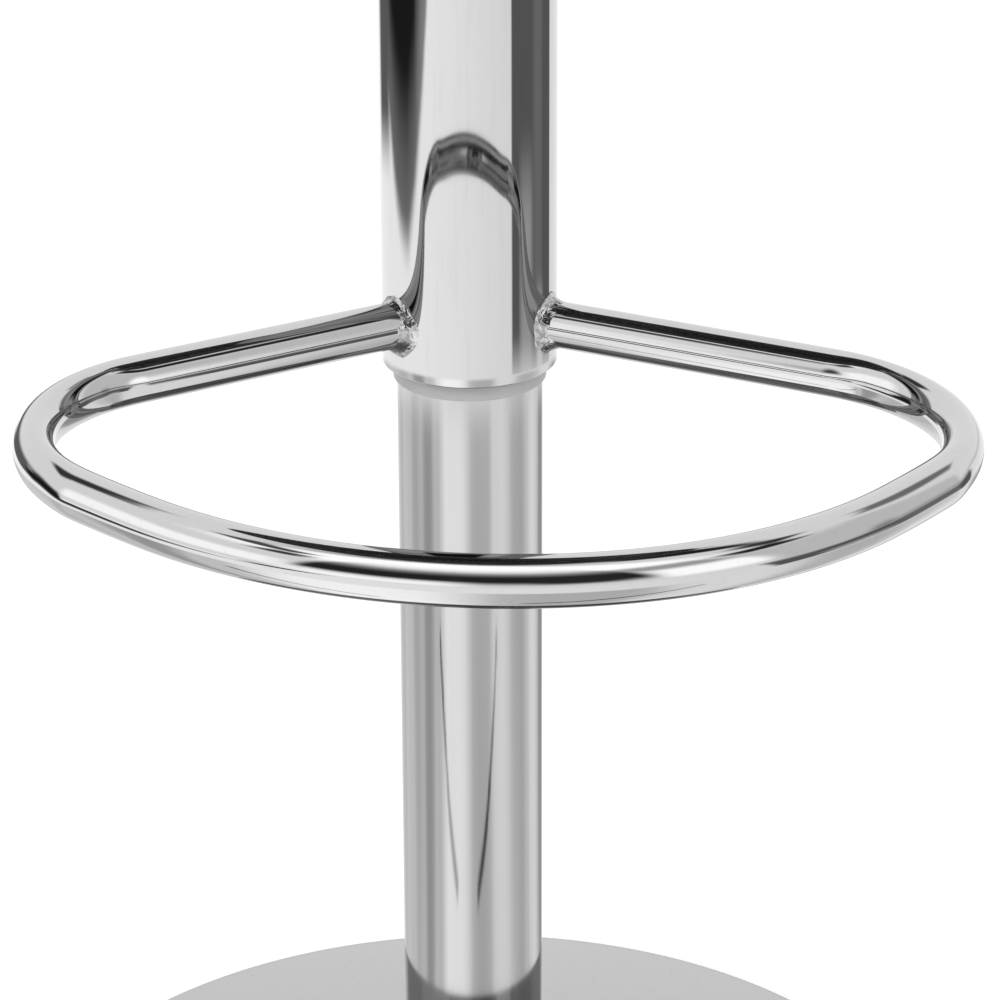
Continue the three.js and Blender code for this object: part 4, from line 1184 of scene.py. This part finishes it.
# the floor as polished metal sees it: strips near the base, plain in front, dark at the sides
def floorTone(x, y):
    size, flags = floorSizes, floorFlags
    radius, xFlat, yFlat = flatDirection(x, y)

    def sector(azimuth, half, edge, *radii):
        mask = facing(xFlat, yFlat, azimuth, half, edge)
        return mask * radius.rise(*radii) if radii else mask

    strips = size["nearTone"]
    for azimuth, half, change in floorStrips:
        strips = sector(azimuth, half / 2, half / 2) * change + strips
    # painted reflection: dark lines that only polished metal sees on the floor
    for start, end, depth in size["paintedReflectionLines"]:
        slope = (end[1] - start[1]) / (end[0] - start[0])
        away = abs(y - start[1] - (x - start[0]) * slope)
        within = x.rise(start[0] - size["paintedReflectionLineEnd"], start[0])
        within = within * x.rise(end[0] + size["paintedReflectionLineEnd"], end[0])
        strips = strips - away.rise(*size["paintedReflectionLineEdge"]) * within * depth
    plain = size["frontTone"] - xFlat * size["leftToRight"]
    line, lean, edge = flags["leftLine"]
    past = 0.0 - x - line - (0.0 - y).maths("MAXIMUM", 0.0) * lean
    tone, fall, falling = flags["leftTone"]
    light, change = flags["leftLight"]
    leftTone = tone - past.rise(*falling) * fall + sector(*light) * change
    far = plain + (leftTone - plain) * past.rise(0.0, edge) * (1.0 - sector(*flags["leftGap"]))
    flag, tone = flags["backLeft"]
    far = far + (tone - far) * sector(*flag)
    flag, tone = flags["right"]
    radii, change = flags["rightFar"]
    rightTone = radius.rise(*radii) * change + tone
    for light, change in flags["rightLights"]:
        rightTone = rightTone + sector(*light) * change
    far = far + (rightTone - far) * sector(*flag)
    near = radius.rise(size["near"] + 0.1, size["near"])
    return strips * near + far * (1.0 - near)


# the emission of a white surface
def glowing(nodes, strength):
    return nodes.make("Emission", {"Color": (1.0, 1.0, 1.0), "Strength": strength}).outputs[0]


def buildFloor():
    size = floorSizes
    half, level = size["halfWidth"], size["level"]
    mesh = bpy.data.meshes.new("floor")
    corners = [(x * half, y * half, level) for x, y in ((-1, -1), (1, -1), (1, 1), (-1, 1))]
    mesh.from_pydata(corners, [], [[0, 1, 2, 3]])
    newObject("floor", mesh)
    material = bpy.data.materials.new("white floor")
    nodes = emptyNodes(material)
    path = nodes.make("LightPath")
    seen = Num(nodes.tree, path.outputs["Is Camera Ray"])
    x, y, _ = nodes.split(nodes.place())
    # a little glow for the camera, more far out, so that the floor runs into the white background
    farOut = flatDirection(x, y)[0].rise(*size["farFrom"])
    glow = glowing(nodes, seen * (farOut * size["farGlow"] + size["glow"]))
    matt = nodes.make("BsdfDiffuse", {"Color": size["colour"]}).outputs[0]
    both = nodes.make("AddShader", {0: matt, 1: glow}).outputs[0]
    share = studioSizes["secondImage"]
    mirrored = glowing(nodes, floorTone(x, y) * onceMore(nodes, path, 1, share))
    mixed = nodes.make("MixShader", {0: path.outputs["Is Glossy Ray"], 1: both, 2: mirrored})
    nodes.make("OutputMaterial", {"Surface": mixed.outputs[0]})
    mesh.materials.append(material)


def buildWorld():
    size = studioSizes
    world = bpy.data.worlds.new("studio")
    bpy.context.scene.world = world
    nodes = emptyNodes(world)
    x, y, z = nodes.split(nodes.make("TexCoord").outputs["Generated"])
    _, xFlat, yFlat = flatDirection(x, y)
    elevation = z.maths("ARCSINE") * (180 / math.pi)

    def panel(sector, lower, upper):
        return elevation.rise(*lower) * elevation.rise(*upper) * facing(xFlat, yFlat, *sector)

    tone = elevation.rise(*size["roomEdge"]) * -size["belowRoom"] + size["room"]
    for _, azimuth, half, edge, lower, upper, panelTone in studioPanels:
        tone = tone + (panelTone - tone) * panel((azimuth, half, edge), lower, upper)
    path = nodes.make("LightPath")
    mirrored, seen = (
        Num(nodes.tree, path.outputs[f"Is {ray} Ray"]) for ray in ("Glossy", "Camera")
    )
    plain = size["light"] * (1.0 - seen) + seen
    # the base keeps its light back wall where the footrest mirrors it
    share = size["secondImage"] * (1.0 - panel(*size["backWall"]))
    strength = mirrored * tone * onceMore(nodes, path, 2, share) + (1.0 - mirrored) * plain
    light = nodes.make("Background", {"Color": (1.0, 1.0, 1.0), "Strength": strength})
    nodes.make("OutputWorld", {"Surface": light.outputs[0]})


# name, place, width and height, power; both look at the footrest
lamps = [
    ("key lamp", (-1.6, -1.6, 2.6), 1.6, 26),
    ("fill lamp", (1.9, -0.8, 1.8), 1.4, 12),
]
# the photograph's view: from a little left of the front, looking down on the footrest
cameraSizes = {
    "place": (-0.1090, -1.2956, 0.8364), "turn": math.radians(5.71), "pitch": math.radians(22.21),
    "lens": 146.19, "shift": (-0.0294, -0.0710),
}


# an object of a lamp or camera that looks along a direction
def aimed(name, data, place, direction):
    thing = newObject(name, data)
    thing.location = place
    thing.rotation_euler = direction.to_track_quat("-Z", "Y").to_euler()
    return thing


def buildLamps():
    for name, place, width, power in lamps:
        data = bpy.data.lights.new(name, "AREA")
        data.shape = "RECTANGLE"
        data.size, data.size_y, data.energy = width, width, power
        aimed(name, data, place, Vector((0, 0, 0.4)) - Vector(place)).visible_glossy = False


def buildCamera(place, turn, pitch, lens, shift):
    data = bpy.data.cameras.new("camera")
    data.sensor_width, data.lens = 36, lens
    data.shift_x, data.shift_y = shift
    data.clip_start, data.clip_end = 0.01, 100
    flat = math.cos(pitch)
    ahead = Vector((math.sin(turn) * flat, math.cos(turn) * flat, -math.sin(pitch)))
    bpy.context.scene.camera = aimed("camera", data, place, ahead)


buildFloor()
buildWorld()
buildLamps()
buildCamera(**cameraSizes)
bpy.context.scene.view_settings.view_transform = "Standard"
print("studio ready")
